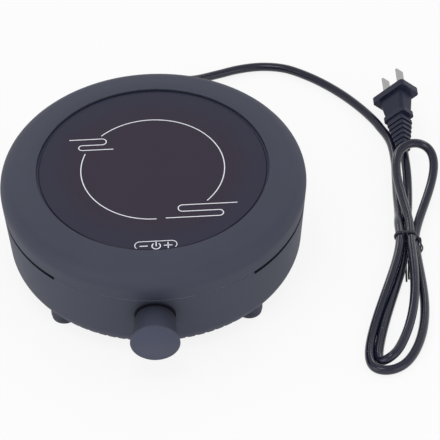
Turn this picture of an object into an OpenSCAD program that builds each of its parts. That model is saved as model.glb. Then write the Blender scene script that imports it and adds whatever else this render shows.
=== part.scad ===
// Small round electric hot plate: a glass plate over a radiant heater, in a two-piece
// housing with one knob that turns and presses, a cooling fan and a tied mains cord.
// Millimetres. The origin is on the body's axis at table level, +Z up, knob towards -Y.

/* [Housing] */
// Widest diameter of the housing
body_d = 195; // [190:1:206]
// Height from the table to the inner edge of the bezel
body_h = 73; // [69:0.5:78]
// Wall thickness of both shells
wall = 2.5; // [2:0.1:3]
// Height of the parting line between cover and base
seam_z = 51; // [48:0.5:53]
// How much slimmer the wall is at its foot than at its widest, on the radius
base_taper = 3.3; // [2:0.1:4.5]
// Rounding between the wall and the underside
base_round = 14.5; // [12:0.5:16]
// Rounding between the wall and the bezel
crown_round = 10; // [8.5:0.5:11.5]
// Slope of the bezel, in degrees
bezel_slope = 9.5; // [7:0.5:11]
// Chamfer on the inner edge of the bezel
bezel_lip = 0.6; // [0.3:0.1:1]
// Height and depth of the groove that marks the parting line
reveal = 0.4; // [0.3:0.1:0.8]
// Height of the locating lip above the parting line
lip_h = 3; // [2:0.5:4]
// Thickness of the locating lip
lip_t = 1.2; // [1:0.1:1.6]

/* [Vents] */
// Height of the side vent slits at the parting line
slit_h = 2.6; // [1.8:0.1:3.2]
// Angle of a slit's front end from the knob, in degrees
slit_from = 40; // [34:1:50]
// Number of vent slots between two feet
slot_n = 19; // [12:1:19]
// Width of a vent slot
slot_w = 2.6; // [2:0.1:2.8]
// Height that the vent slots reach on the lower rounding
slot_top = 11; // [9:0.5:12]
// Angle left free of slots on each side of a foot, in degrees
slot_skip = 9; // [9:0.5:12]
// Width of a ring slot in the fan's intake grille
grille_w = 3; // [2:0.1:3.6]
// Distance between ring slots of the intake grille
grille_pitch = 5.5; // [5:0.1:6]

/* [Feet and screws] */
// Diameter of a rubber foot
foot_d = 16; // [13:0.5:17]
// Height of a rubber foot under the base
foot_h = 3.5; // [2.5:0.5:5]
// Distance of the feet and screw posts in from the widest radius
foot_in = 14.5; // [14:0.1:16]
// Diameter of the housing screws
screw_d = 3.5; // [3:0.1:4]
// Diameter of the housing screws' heads
screw_head_d = 7; // [6:0.1:7.2]
// Grip of the housing screws in the cover
screw_bite = 10; // [7:0.5:11]
// Wall of a screw post round its hole
post_wall = 1.5; // [1.2:0.1:2]

/* [Glass] */
// Diameter of the opening in the bezel
opening_d = 148; // [144:1:150]
// Width of the sealed groove round the glass
glass_gap = 1.5; // [1.2:0.1:2.2]
// Thickness of the glass plate
glass_t = 4; // [3.5:0.1:4.5]
// Depth of the glass below the bezel's inner edge
glass_step = 1.8; // [1.2:0.1:2.2]
// Thickness of the seal under the glass
seal_t = 1; // [0.8:0.1:1.4]
// Width of the ledge under the glass
ledge_w = 5; // [4:0.5:5.5]
// Thickness of the ledge under the glass
ledge_t = 2.5; // [2:0.1:3]

/* [Heater] */
// Diameter of the heater pan
pan_d = 130; // [124:1:132]
// Depth of the heater pan under the glass
pan_depth = 22; // [21:0.5:24]
// Sheet thickness of the heater pan
pan_t = 0.8; // [0.6:0.1:1]
// Thickness of the insulating dish's floor
dish_floor = 9; // [8:0.5:9.5]
// Thickness of the insulating dish's rim
dish_rim = 9; // [8:0.5:10]
// Height of the heating ribbon
coil_h = 4.5; // [4:0.1:4.8]
// Thickness of the heating ribbon
coil_t = 0.8; // [0.6:0.1:1.2]
// Distance between turns of the heating ribbon
coil_pitch = 8; // [7:0.1:8.2]
// Radius of the innermost turn
coil_in = 12; // [8:0.5:13]
// Number of half turns of the heating ribbon
coil_halves = 10; // [6:2:10]
// Diameter of the heat limiter's rod
rod_d = 3.6; // [3:0.1:3.8]
// Height of the leaf springs under the pan
spring_h = 6; // [5:0.5:7]
// Width of the leaf springs
spring_w = 10; // [8:0.5:12]
// Thickness of the leaf springs
spring_t = 0.8; // [0.6:0.1:1]
// Reach of the heater bracket's posts from the axis
bracket_reach = 60; // [56:1:62]
// Width of the heater bracket
bracket_w = 18; // [14:1:20]
// Thickness of the heater bracket
bracket_t = 1.5; // [1.2:0.1:2]

/* [Fan] */
// Side of the fan frame
fan_side = 60; // [58:0.5:61]
// Height of the fan frame
fan_h = 15; // [14:0.5:16]
// Distance between the fan's screw holes
fan_hole_pitch = 50; // [49:0.5:51]
// Height of the standoffs under the fan
fan_lift = 2; // [1.5:0.5:4]
// Diameter of the fan's hub
fan_hub_d = 32; // [30:0.5:34]
// Diameter of the fan's shaft
fan_shaft_d = 3; // [2.5:0.1:3.4]
// Number of fan blades
fan_blades = 7; // [5:1:9]
// Thickness of a fan blade
blade_t = 1.2; // [1:0.1:1.6]
// Pitch angle of the fan blades, in degrees
blade_pitch = 40; // [32:1:46]

/* [Boards] */
// Thickness of the circuit boards
board_t = 1.6; // [1.2:0.1:2]
// Length of the power board
power_l = 88; // [86:0.5:90]
// Width of the power board
power_w = 30; // [29.5:0.5:31]
// Height of the standoffs under the power board
board_lift = 7; // [6:0.5:8]
// Free space between the fan and the power board
board_gap = 4; // [3.5:0.5:5]
// Length of the control board
control_l = 46; // [44:0.5:50]
// Height of the control board
control_w = 26; // [25:0.5:28]
// Diameter of the small screws that hold boards, fan, bracket and clamp
pin_d = 3; // [2.6:0.1:3.2]
// Diameter of the small screws' heads
pin_head_d = 5.6; // [5:0.1:6]
// Height of the small screws' heads
pin_head_h = 2; // [1.6:0.1:2.4]

/* [Knob] */
// Diameter of the knob's front face
knob_d = 31; // [28:0.5:34]
// Diameter of the knob at the housing
knob_root_d = 24.8; // [23:0.2:26.4]
// Length of the knob
knob_l = 20.5; // [18:0.5:23]
// Height of the knob's axis above the table
knob_z = 36.5; // [35:0.5:37]
// Chamfer round the knob's front face
knob_edge = 0.8; // [0.4:0.1:1.4]
// Wall of the hollow knob
knob_wall = 2.2; // [1.8:0.1:2.8]
// Travel of the knob when it is pressed
press = 1.5; // [1:0.1:1.6]
// Diameter of the encoder's shaft
shaft_d = 6; // [5.6:0.1:6.2]
// Thickness of the shaft across its flat
shaft_flat = 4.5; // [4:0.1:5]
// Side of the encoder's case
encoder_side = 12; // [11.6:0.1:13]
// Depth of the encoder's case
encoder_l = 6.5; // [6.3:0.1:7.5]

/* [Cord and plug] */
// Diameter of the mains cord
cord_d = 6; // [5.6:0.1:6.2]
// Height of the cord's exit above the table
cord_z = 21; // [20:0.5:22]
// Length of the strain relief boot outside the wall
boot_l = 23; // [20:1:26]
// Free space between strands at the waist of the hank
strand_gap = 0.5; // [0.5:0.1:0.8]
// Thickness of the wire tie
tie_t = 1.1; // [0.8:0.1:1.2]
// Width of one wrap of the wire tie
tie_w = 1.2; // [1:0.1:1.6]
// Length of the plug's ribbed relief
relief_l = 27; // [25:0.5:28]
// Number of ribs on the plug's relief
relief_n = 7; // [5:1:8]
// Length of the plug's grip
grip_l = 15; // [13:0.5:17]
// Width of the plug's flange
flange_w = 28; // [26:0.5:28.4]
// Depth of the plug's flange
flange_d = 17.5; // [16:0.5:17.8]
// Thickness of the plug's flange
flange_t = 4.5; // [4:0.5:6]
// Distance between the two blades
prong_pitch = 12.7; // [12.5:0.1:12.9]
// Width of a blade
prong_w = 6.3; // [6:0.1:6.5]
// Thickness of a blade
prong_t = 1.5; // [1.4:0.1:1.6]
// Length of a blade outside the plug
prong_l = 17; // [15:0.5:18.5]

/* [Hidden] */
$fn = 64;

// Clearances
fit = 0.1;
run = 0.06;
slack = 0.3;
past = 1;

// Housing outline: the wall is the line that touches both roundings
body_r = body_d / 2;
opening_r = opening_d / 2;
crown_r = body_r - crown_round;
crown_z = body_h - crown_round * cos(bezel_slope)
  - (crown_r + crown_round * sin(bezel_slope) - opening_r) * tan(bezel_slope);
crown_c = [crown_r, crown_z];
foot_c = [body_r - base_taper - base_round, foot_h + base_round];
rise = crown_c - foot_c;
wall_tilt = acos((base_round - crown_round) / norm(rise)) - atan2(rise.y, rise.x);
wall_n = [cos(wall_tilt), -sin(wall_tilt)];
bezel_n = [sin(bezel_slope), cos(bezel_slope)];
wall_foot = foot_c + base_round * wall_n;
floor_z = foot_h + wall;
slit_to = 180 - slit_from;
slot_in = foot_c.x + 0.5;
grille_in = 13;
grille_rings = 3;

function wall_r(z) = wall_foot.x + (z - wall_foot.y) * tan(wall_tilt);
function mix(a, b, t) = a + (b - a) * t;
function ease(t) = let (c = min(max(t, 0), 1)) c * c * (3 - 2 * c);
function unit(v) = v / norm(v);

// Feet, screw posts and screws share one pitch circle
post_r = body_r - foot_in;
post_angles = [45, 135, 225, 315];
screw_hole_r = screw_d / 2 + fit;
screw_bore_r = screw_head_d / 2 + slack;
screw_seat_z = seam_z - 14;
screw_head_h = 2.4;
cover_post_r = screw_hole_r + post_wall + 1;
foot_pad_r = foot_d / 2 + 0.5;
foot_pad_h = 8;
foot_stem_h = 5;

// Glass and heater stack, from the bezel down
glass_top = body_h - glass_step;
glass_bottom = glass_top - glass_t;
glass_r = opening_r - glass_gap;
glass_edge = 0.5;
seal_drop = 0.6;
ledge_z = glass_bottom - seal_t;
ledge_r = glass_r - ledge_w;
pan_r = pan_d / 2;
pan_bottom = glass_bottom - pan_depth;
pan_rim_drop = 2;
dish_r = pan_r - pan_t - fit;
dish_z = pan_bottom + pan_t + dish_floor;
rod_r = rod_d / 2;
rod_room = 0.2;
rod_in = 2;
rod_z = dish_z + coil_h + slack + rod_r;
head_size = [14, 20, 11];
head_x = pan_r + slack;
head_bite = 8;
strip_size = [10, 28, 10];
strip_x = -pan_r - slack - strip_size.x;
strip_z = pan_bottom + 2;
tab_size = [14, 6.3, 0.8];
tab_pitch = 14;
tab_bite = 6;
tab_hole_r = 0.9;
bracket_z = pan_bottom - spring_h - bracket_t;
spring_x = 38;
spring_span = 30;
spring_r = (spring_span * spring_span / 4 + spring_h * spring_h) / (2 * spring_h);

// Fan, from the base's floor up
fan_z = floor_z + fan_lift;
duct_r = fan_side / 2 - 1.5;
hub_r = fan_hub_d / 2;
hub_wall = 1.6;
hub_z = fan_z + 2.6;
hub_top = fan_z + fan_h - 0.6;
blade_z = (hub_z + hub_top) / 2 + 0.4;
fan_disc_t = 2;
tube_r = 4.5;
bearing_r = 3;
bearing_h = 8.4;
bearing_z = fan_z + 1.4;
fan_shaft_r = fan_shaft_d / 2;
strut_w = 4;
strut_h = 1.4;
strut_lift = 0.3;
tip_gap = 1;
magnet_t = 1.8;
stator_lift = 1;
stator_t = 2.5;
stator_h = 7;
pole_w = 4;
pole_h = 6;

// Boards
pin_hole_r = pin_d / 2 + fit;
pin_post_r = pin_d / 2 + fit + 2;
pin_floor = foot_h + 1;
post_bore = 9;
control_bore = 4;
power_y = fan_side / 2 + board_gap;
power_z = floor_z + board_lift;
power_top = power_z + board_t;
board_edge = 3.5;
power_pins = [for (x = [-1, 1], y = [0, 1])
  [x * (power_l / 2 - board_edge), power_y + board_edge + y * (power_w - 2 * board_edge)]];
control_pins = [for (x = [-1, 1], z = [-1, 1])
  [x * (control_l / 2 - board_edge), z * (control_w / 2 - board_edge)]];
fan_pins = [for (x = [-1, 1], y = [-1, 1]) [x, y] * fan_hole_pitch / 2];
bracket_pins = [[-bracket_reach, 0], [bracket_reach, 0]];
relay_size = [19, 15.5, 15.5];
film_size = [15, 7, 12];
core_w = 22;
core_d = 18;
core_h = 16;
core_leg = 6;
winding_w = 12;
can_r = 5;
can_h = 16;
can_neck = 1.8;
sink_w = 14;
sink_h = 18;
fin_t = 1.2;
fin_pitch = 3;
triac_w = 10;
leg_h = 3;
leg_pitch = 2.5;

// Knob and encoder, measured inwards from the front wall at the knob's height
front_r = wall_r(knob_z);
encoder_y = -(front_r - wall - 1);
control_y = encoder_y + encoder_l;
bushing_r = shaft_d / 2 + 0.6;
bushing_l = wall + 2.2;
knob_y = -(wall_r(knob_z + knob_root_d / 2) + press + 0.4);
shaft_r = shaft_d / 2;
shaft_flat_x = shaft_flat - shaft_r;
case_floor = 1;
case_lid = 1;
dome_t = 0.35;
dome_r = 2.6;
shaft_start = case_floor + dome_t + press + 0.1;
rotor_h = 2.2;
rotor_z = encoder_l - case_lid - rotor_h - 0.1;
knob_front = 3;
hub_back = 1.2;
knob_hub_r = 5.2;
knob_rib_t = 1.2;
knob_rib_h = 3;
clip_t = 0.7;
clip_w = 4;

// Cord entry at the back wall
back_r = wall_r(cord_z);
cord_r = cord_d / 2;
boot_neck_r = cord_r + 2.4;
boot_flange_r = boot_neck_r + 2;
boot_flange_t = 2;
boot_ease = 0.9;
boot_tip_r = cord_r + 1.2;
boot_ribs = 5;
rib_gap = 1.2;
boot_end = back_r + boot_ease + boot_l;
clamp_y = power_y + power_w + 6;
clamp_x = cord_r + 6;
clamp_w = 8;
clamp_h = 6.5;
clamp_pins = [[-clamp_x, clamp_y], [clamp_x, clamp_y]];
lead_start = clamp_y - 5;
wire_d = 1.8;
wire_x = 1.7;
wire_bite = 4;

// Route of the cord's free stretch, from the boot to the hank, along the table
cord_route = [
  [0, boot_end, cord_z], [0, boot_end + 9, cord_z], [1.8, 137.5, 19.4], [7, 146, 15.6], [15.5, 151.5, 11],
  [27, 155.8, 7.2], [43, 163.4, 4.6], [58, 169.8, 3.2], [74, 172, 3], [90, 169.3, 3], [105, 161, 3],
  [118, 150.8, 3], [129, 140, 3], [138, 129.3, 3], [145, 119.5, 3], [150, 111.2, 3], [153, 105, 3]
];

// Hank: three lobes from one formula, drawn in at the waist where the wire tie sits
hank_at = [163.1, -4.6];
strand = cord_d + strand_gap;
tie_slack = 0.5;
waist_low = cord_r + tie_t + tie_slack + fit;
waist_top = waist_low + sqrt(pow(strand + fit, 2) - strand * strand / 4);
loop_z = 17;
loop_rings = 24;
hank_sides = 6;
cord_sides = 10;
fold_lift = 4.5;

// Places of the four strands at the waist, two on the table and two in the hollows above them
back_low = -strand / 4;
front_low = strand * 3 / 4;
back_top = -strand * 3 / 4;
front_top = strand / 4;

// One lobe: length along the hank, strand it starts and ends on, lean and how fast it leans, half width,
// pear shape and a bulb at the fold. The strands leave the waist straight.
function lobe(t, length, from, to, lean, sweep, half, pear, bulb) =
  let (s = sin(180 * t), hold = 1 - pow(1 - s, 4))
  let (spread = half * (1 - 2 * pear * cos(360 * t)) + bulb * pow(s, 14))
  hank_at + [mix(from, to, ease(t)) + lean * pow(s, sweep) + hold * spread * sin(360 * t), length * s];
// Height of a strand that starts at z and settles on the table by t
function settle(z, t) = (z - cord_r) * (1 - ease(t));
function outer_lobe(t) = concat(lobe(t, -111.3, back_top, front_low, -20.7, 1.7, -12.4, 0.07, -3.3),
  cord_r + settle(waist_top, t / 0.28) + settle(waist_low, (1 - t) / 0.12));
function upper_lobe(t) = concat(lobe(t, 79, front_low, front_top, 7.7, 1, 11.2, 0.14, 0),
  mix(waist_low, waist_top, ease(t)) + (loop_z - (waist_low + waist_top) / 2) * pow(sin(180 * t), 2));
function inner_lobe(t) = concat(lobe(t, -103, front_top, back_low, -20.8, 1.7, 5.6, 0, 3.5),
  cord_r + settle(waist_top - fold_lift, t / 0.3) + fold_lift * (1 - ease((t - 0.42) / 0.16))
  + settle(waist_low, (1 - t) / 0.12));

// Plug, lying on the corner of its flange
plug_at = [166.3, 76.2, 9.45];
plug_yaw = 3;
plug_pitch = 7;
plug_roll = -45;
plug_dir = [-sin(plug_yaw) * cos(plug_pitch), cos(plug_yaw) * cos(plug_pitch), sin(plug_pitch)];
collar_h = 3.5;
collar_size = [18.5, 12];
grip_start = [16, 11];
grip_end = [20, 13];
plug_round = 2.5;
relief_tip = [7.6, 7.6];
relief_root = [14.5, 11.5];
relief_round = 2;
relief_pitch = relief_l / (relief_n + 0.5);
rib_depth = 0.8;
grip_z = relief_l + collar_h;
flange_z = grip_z + grip_l;
prong_root = 10;

// Strands that lead into the hank and out of it to the plug
lead_in = [[153, 105, 3], [156, 99, 3], [158.4, 92, 3], [159.8, 83, 3], [160.4, 70, 3], [160, 55, 3],
  [159.6, 40, 3.1], [159, 29, 3.8], [158.4, 18, 5.8], [158, 7, 9.3]];
lead_out = [[161.8, 1, 4.4], [163.1, 9, 3.9], [165.2, 20, 3.3], [166.3, 34, 3], [167, 46, 3.8],
  [167.2, 56, 5.8], plug_at - 2 * cord_d * plug_dir, plug_at - cord_d * plug_dir, plug_at];
loop_steps = [for (i = [0 : loop_rings - 1]) i / loop_rings];
loops = concat([for (t = loop_steps) outer_lobe(t)], [for (t = loop_steps) upper_lobe(t)],
  [for (t = loop_steps) inner_lobe(t)], [inner_lobe(1)]);
hank_route = concat(lead_in, loops, lead_out);

// Least gap of the hank to itself, over points that are further apart along it than three diameters
function fine(p, n) = [for (i = [0 : len(p) - 2], k = [0 : n - 1]) mix(p[i], p[i + 1], k / n)];
hank_fine = fine(hank_route, 4);
hank_far = 3 * cord_d;
function lengths(p) = [for (i = 0, s = 0; i < len(p);
  s = s + (i + 1 < len(p) ? norm(p[i + 1] - p[i]) : 0), i = i + 1) s];
hank_at_length = lengths(hank_fine);
hank_gap = min([for (i = [0 : len(hank_fine) - 1], j = [i + 1 : len(hank_fine) - 1])
  if (hank_at_length[j] - hank_at_length[i] > hank_far) norm(hank_fine[i] - hank_fine[j])]) - cord_d;
hank_lengths = lengths(hank_route);
hank_length = hank_lengths[len(hank_route) - 1];
free_lengths = lengths(cord_route);
free_length = free_lengths[len(cord_route) - 1];
echo(hank_gap = hank_gap, hank_length = hank_length, free_length = free_length);

// Shared shapes

// Half section of the whole closed body, set in from its surface
module body_profile(inset) {
  low = foot_c + (base_round - inset) * wall_n;
  high = crown_c + (crown_round - inset) * wall_n;
  top = crown_c + (crown_round - inset) * bezel_n;
  brow = [opening_r, top.y + (top.x - opening_r) * tan(bezel_slope)];
  polygon([[0, foot_h + inset], [foot_c.x, foot_h + inset], low, high, top, brow, [0, brow.y]]);
  translate(foot_c) circle(base_round - inset);
  translate(crown_c) circle(crown_round - inset);
}

// Keeps what lies inside the middle of the housing's wall
module trim_to_wall() {
  intersection() {
    union() children();
    rotate_extrude() body_profile(wall / 2);
  }
}

// Repeats a child on the four feet
module at_feet() {
  for (a = post_angles) rotate(a) translate([post_r, 0, 0]) children();
}

module at_points(points, z) {
  for (p = points) translate([p.x, p.y, z]) children();
}

// Turns a child built along +Z to point out of the front wall at the knob's axis
module at_front(y) {
  translate([0, y, knob_z]) rotate([90, 0, 0]) children();
}

// Turns a child built along +Z to point out of the back wall at the cord's exit
module at_back(y) {
  translate([0, y, cord_z]) rotate([-90, 0, 0]) children();
}

// Turns a child built along +Z to the plug's axis
module at_plug() {
  translate(plug_at) rotate([-90 + plug_pitch, 0, plug_yaw]) rotate(plug_roll) children();
}

module tube(outer, inner, h) {
  difference() {
    cylinder(r = outer, h = h);
    translate([0, 0, -past]) cylinder(r = inner, h = h + 2 * past);
  }
}

module block(size) {
  translate([-size.x / 2, -size.y / 2, 0]) cube(size);
}

// Block with round upright corners
module rounded_block(w, d, h, r) {
  block([w - 2 * r, d, h]);
  block([w, d - 2 * r, h]);
  for (x = [-1, 1], y = [-1, 1]) translate([x * (w / 2 - r), y * (d / 2 - r), 0]) cylinder(r = r, h = h);
}

// Small screw with its head's seat at z = 0 and its shank below
module pin_screw(length) {
  cylinder(d = pin_head_d, h = pin_head_h);
  translate([0, 0, -length]) cylinder(d = pin_d, h = length + 0.5);
}

// Shaft with a flat along one side
module flatted(r, flat_x, h) {
  difference() {
    cylinder(r = r, h = h);
    translate([flat_x, -r - past, -past]) cube([2 * r, 2 * (r + past), h + 2 * past]);
  }
}

// Round tube swept along points, with flat ends square to the route
module swept_tube(route, r, sides) {
  last = len(route) - 1;
  points = [for (i = [0 : last])
    let (t = unit(route[min(i + 1, last)] - route[max(i - 1, 0)]))
    let (across = unit(cross(t, [0, 0, 1])), up = cross(across, t))
    for (k = [0 : sides - 1])
      route[i] + r * (cos(360 * k / sides) * across + sin(360 * k / sides) * up)];
  skin = [for (i = [0 : last - 1], k = [0 : sides - 1])
    let (a = i * sides + k, b = i * sides + (k + 1) % sides, c = a + sides, d = b + sides)
    each [[a, b, c], [b, d, c]]];
  start = [for (k = [1 : sides - 2]) [0, k + 1, k]];
  end = [for (k = [1 : sides - 2]) [last * sides, last * sides + k, last * sides + k + 1]];
  polyhedron(points, concat(skin, start, end));
}

// Housing

module top_cover() color("#4a4c58") difference() {
  union() {
    rotate_extrude() difference() {
      intersection() {
        body_profile(0);
        translate([0, seam_z]) square([body_r + past, body_h]);
      }
      body_profile(wall);
      square([opening_r, body_h + past]);
      translate([wall_r(seam_z) - reveal, seam_z - past]) square([body_r, past + reveal]);
      polygon([[opening_r - past, body_h + past], [opening_r - past, body_h - bezel_lip],
        [opening_r, body_h - bezel_lip], [opening_r + bezel_lip, body_h],
        [opening_r + bezel_lip, body_h + past]]);
    }
    rotate_extrude() {
      translate([opening_r, ledge_z - ledge_t]) square([wall, body_h - wall / 2 - ledge_z + ledge_t]);
      translate([ledge_r, ledge_z - ledge_t]) square([opening_r + wall - ledge_r, ledge_t]);
    }
    difference() {
      trim_to_wall() at_feet() translate([0, 0, seam_z]) cylinder(r = cover_post_r, h = body_h);
      translate([0, 0, ledge_z]) cylinder(r = opening_r, h = body_h);
    }
  }
  at_feet() translate([0, 0, seam_z - past]) cylinder(r = screw_hole_r, h = screw_bite + past + slack);
}

module base_posts() {
  at_feet() translate([0, 0, foot_h]) cylinder(r = screw_bore_r + post_wall, h = seam_z - foot_h);
  at_points(bracket_pins, 0) cylinder(r = pin_post_r + 1, h = bracket_z);
  at_points(fan_pins, 0) cylinder(r = pin_post_r, h = fan_z);
  at_points(power_pins, 0) cylinder(r = pin_post_r, h = power_z);
  at_points(clamp_pins, 0) cylinder(r = pin_post_r, h = cord_z);
  translate([0, clamp_y, 0]) block([2 * clamp_x, clamp_w - 2, cord_z - cord_r - fit]);
  for (p = control_pins) at_front(control_y) translate([p.x, p.y, 0]) cylinder(r = pin_post_r, h = body_r);
}

module vent_slots() {
  span = 90 - 2 * slot_skip;
  for (a = post_angles, i = [0 : slot_n - 1])
    rotate(a + slot_skip + i * span / (slot_n - 1))
      translate([slot_in, -slot_w / 2, -past]) cube([body_r, slot_w, slot_top + past]);
}

module side_slits() {
  inner = wall_r(seam_z) - wall - lip_t - past;
  for (a = [slit_from - 90, slit_from + 90])
    rotate(a) translate([0, 0, seam_z - slit_h])
      rotate_extrude(angle = slit_to - slit_from)
        translate([inner, 0]) square([body_r, slit_h + lip_h + past]);
}

module intake_grille() {
  for (k = [0 : grille_rings - 1], a = [0 : 90 : 270])
    rotate(a + 8) rotate_extrude(angle = 74)
      translate([grille_in + k * grille_pitch, foot_h - past]) square([grille_w, wall + 2 * past]);
}

module base_shell() color("#44464f") difference() {
  union() {
    rotate_extrude() difference() {
      intersection() {
        body_profile(0);
        square([body_r + past, seam_z]);
      }
      body_profile(wall);
    }
    rotate_extrude()
      translate([wall_r(seam_z) - wall - fit - lip_t, seam_z - lip_h]) square([lip_t, 2 * lip_h]);
    trim_to_wall() base_posts();
    at_feet() translate([0, 0, foot_h]) cylinder(r = foot_pad_r, h = foot_pad_h);
  }
  vent_slots();
  side_slits();
  intake_grille();
  at_feet() translate([0, 0, -past]) cylinder(r = screw_bore_r, h = screw_seat_z + past);
  at_feet() translate([0, 0, screw_seat_z - past]) cylinder(r = screw_hole_r, h = seam_z);
  at_points(bracket_pins, bracket_z - post_bore) cylinder(r = pin_hole_r, h = post_bore + past);
  at_points(fan_pins, pin_floor) cylinder(r = pin_hole_r, h = fan_z);
  at_points(power_pins, pin_floor) cylinder(r = pin_hole_r, h = power_z);
  at_points(clamp_pins, cord_z - post_bore) cylinder(r = pin_hole_r, h = post_bore + past);
  for (p = control_pins) at_front(control_y + past) translate([p.x, p.y, 0])
    cylinder(r = pin_hole_r, h = control_bore + past);
  at_front(encoder_y) cylinder(r = bushing_r + fit, h = body_r);
  at_back(back_r - 2 * wall) cylinder(r = boot_neck_r + fit, h = body_r);
}

module rubber_feet() color("#1c1c1f") at_feet() {
  rotate_extrude() polygon([[0, 1], [foot_d / 4, 1], [foot_d / 4 + 1, 0], [foot_d / 2 - 1, 0],
    [foot_d / 2, 1], [foot_d / 2, foot_h], [0, foot_h]]);
  cylinder(r = screw_bore_r - fit, h = foot_h + foot_stem_h);
}

module housing_screws() color("#8c9096") at_feet() {
  translate([0, 0, screw_seat_z - screw_head_h]) cylinder(d = screw_head_d, h = screw_head_h);
  translate([0, 0, screw_seat_z]) cylinder(d = screw_d, h = seam_z + screw_bite - screw_seat_z);
}

// Glass and heater

module glass_plate() color("#3b3442") rotate_extrude() polygon([[0, glass_bottom],
  [glass_r - glass_edge, glass_bottom], [glass_r, glass_bottom + glass_edge],
  [glass_r, glass_top - glass_edge], [glass_r - glass_edge, glass_top], [0, glass_top]]);

module glass_seal() color("#17171a") rotate_extrude() {
  translate([ledge_r, ledge_z]) square([opening_r - fit - ledge_r, seal_t]);
  translate([glass_r + fit, ledge_z]) square([glass_gap - 2 * fit, glass_top - seal_drop - ledge_z]);
}

module rod_hole(r) {
  translate([-dish_r, 0, rod_z]) rotate([0, 90, 0]) cylinder(r = r, h = dish_r + body_r);
}

module heater_pan() color("#b4b7ba") difference() {
  rotate_extrude() difference() {
    translate([0, pan_bottom]) square([pan_r, pan_depth - pan_rim_drop]);
    translate([-past, pan_bottom + pan_t]) square([pan_r - pan_t + past, pan_depth]);
  }
  rod_hole(rod_r + rod_room);
}

module insulation_dish() color("#e3ded2") difference() {
  rotate_extrude() difference() {
    translate([0, pan_bottom + pan_t]) square([dish_r, glass_bottom - pan_bottom - pan_t]);
    translate([-past, dish_z]) square([dish_r - dish_rim + past, pan_depth]);
  }
  rod_hole(rod_r + rod_room);
}

// Two-centre spiral: each half turn is wider than the last by half a pitch
module heating_coil() color("#6b5a50") rotate(180) for (k = [0 : coil_halves - 1])
  translate([k % 2 * coil_pitch / 2, 0, dish_z]) rotate(k % 2 * 180) rotate_extrude(angle = 180)
    translate([coil_in + k * coil_pitch / 2 - coil_t / 2, 0]) square([coil_t, coil_h]);

module limiter_rod() color("#9aa0a5") translate([rod_in - dish_r, 0, rod_z]) rotate([0, 90, 0])
  cylinder(r = rod_r, h = dish_r - rod_in + head_x + head_bite);

module limiter_head() color("#d9d4c6") difference() {
  translate([head_x, -head_size.y / 2, ledge_z - ledge_t - slack - head_size.z]) cube(head_size);
  translate([head_x - past, 0, rod_z]) rotate([0, 90, 0]) cylinder(r = rod_r + fit, h = head_bite + past);
}

module at_tabs() {
  for (y = [-1, 1]) translate([strip_x, y * tab_pitch / 2, strip_z + strip_size.z / 2]) children();
}

module terminal_strip() color("#dcd7ca") difference() {
  translate([strip_x, -strip_size.y / 2, strip_z]) cube(strip_size);
  at_tabs() translate([-past, -tab_size.y / 2 - fit, -tab_size.z / 2 - fit])
    cube([tab_bite + past, tab_size.y + 2 * fit, tab_size.z + 2 * fit]);
}

module terminal_tabs() color("#c3c6c8") at_tabs() difference() {
  translate([tab_bite - tab_size.x, -tab_size.y / 2, -tab_size.z / 2]) cube(tab_size);
  translate([tab_bite - tab_size.x + 3, 0, -past]) cylinder(r = tab_hole_r, h = 2 * past);
}

module heater_bracket() color("#a9adb1") difference() {
  translate([0, 0, bracket_z]) block([2 * (bracket_reach + bracket_w / 2), bracket_w, bracket_t]);
  at_points(bracket_pins, bracket_z - past) cylinder(r = pin_hole_r, h = bracket_t + 2 * past);
}

module bracket_screws() color("#8c9096") at_points(bracket_pins, bracket_z + bracket_t)
  pin_screw(bracket_t + post_bore - 1);

module pan_springs() color("#9da2a6") for (x = [-1, 1])
  translate([x * spring_x, spring_w / 2, pan_bottom - spring_r]) rotate([90, 0, 0]) linear_extrude(spring_w)
    intersection() {
      difference() {
        circle(spring_r);
        circle(spring_r - spring_t);
      }
      translate([-spring_r, spring_r - spring_h]) square([2 * spring_r, spring_h + past]);
    }

// Fan

module fan_frame() color("#202226") difference() {
  union() {
    difference() {
      translate([0, 0, fan_z]) rounded_block(fan_side, fan_side, fan_h, 4);
      translate([0, 0, fan_z - past]) cylinder(r = duct_r, h = fan_h + 2 * past);
    }
    translate([0, 0, fan_z]) cylinder(r = hub_r, h = fan_disc_t);
    translate([0, 0, fan_z]) cylinder(r = tube_r, h = fan_disc_t + bearing_h + slack);
    for (a = [45, 135]) rotate(a) translate([0, 0, fan_z + strut_lift])
      block([2 * duct_r + 4, strut_w, strut_h]);
  }
  translate([0, 0, bearing_z]) cylinder(r = bearing_r + fit, h = fan_h);
  at_points(fan_pins, fan_z - past) cylinder(r = pin_hole_r, h = fan_h + 2 * past);
}

module fan_bearing() color("#b08d3c") translate([0, 0, bearing_z])
  tube(bearing_r, fan_shaft_r + run / 2, bearing_h);

module fan_stator() color("#8a5a35") translate([0, 0, fan_z + fan_disc_t + stator_lift]) difference() {
  union() {
    cylinder(r = tube_r + stator_t, h = stator_h);
    for (a = [0, 90]) rotate(a) block([2 * (hub_r - hub_wall - magnet_t - 1), pole_w, pole_h]);
  }
  translate([0, 0, -past]) cylinder(r = tube_r + fit, h = stator_h + 2 * past);
}

module blade(angle) {
  rotate(angle) intersection() {
    translate([0, 0, hub_z + 1.2]) tube(duct_r - tip_gap, hub_r - 0.5, hub_top - hub_z - 1.6);
    translate([0, 0, blade_z]) rotate([blade_pitch, 0, 0]) translate([0, -fan_h, -blade_t / 2])
      cube([duct_r, 2 * fan_h, blade_t]);
  }
}

module fan_rotor() color("#2a2c31") difference() {
  union() {
    translate([0, 0, hub_z]) difference() {
      cylinder(r = hub_r, h = hub_top - hub_z);
      translate([0, 0, -past]) cylinder(r = hub_r - hub_wall, h = hub_top - hub_z - hub_wall + past);
    }
    for (k = [0 : fan_blades - 1]) blade(k * 360 / fan_blades);
  }
  translate([0, 0, fan_z]) cylinder(r = fan_shaft_r + fit / 2, h = fan_h);
}

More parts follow.
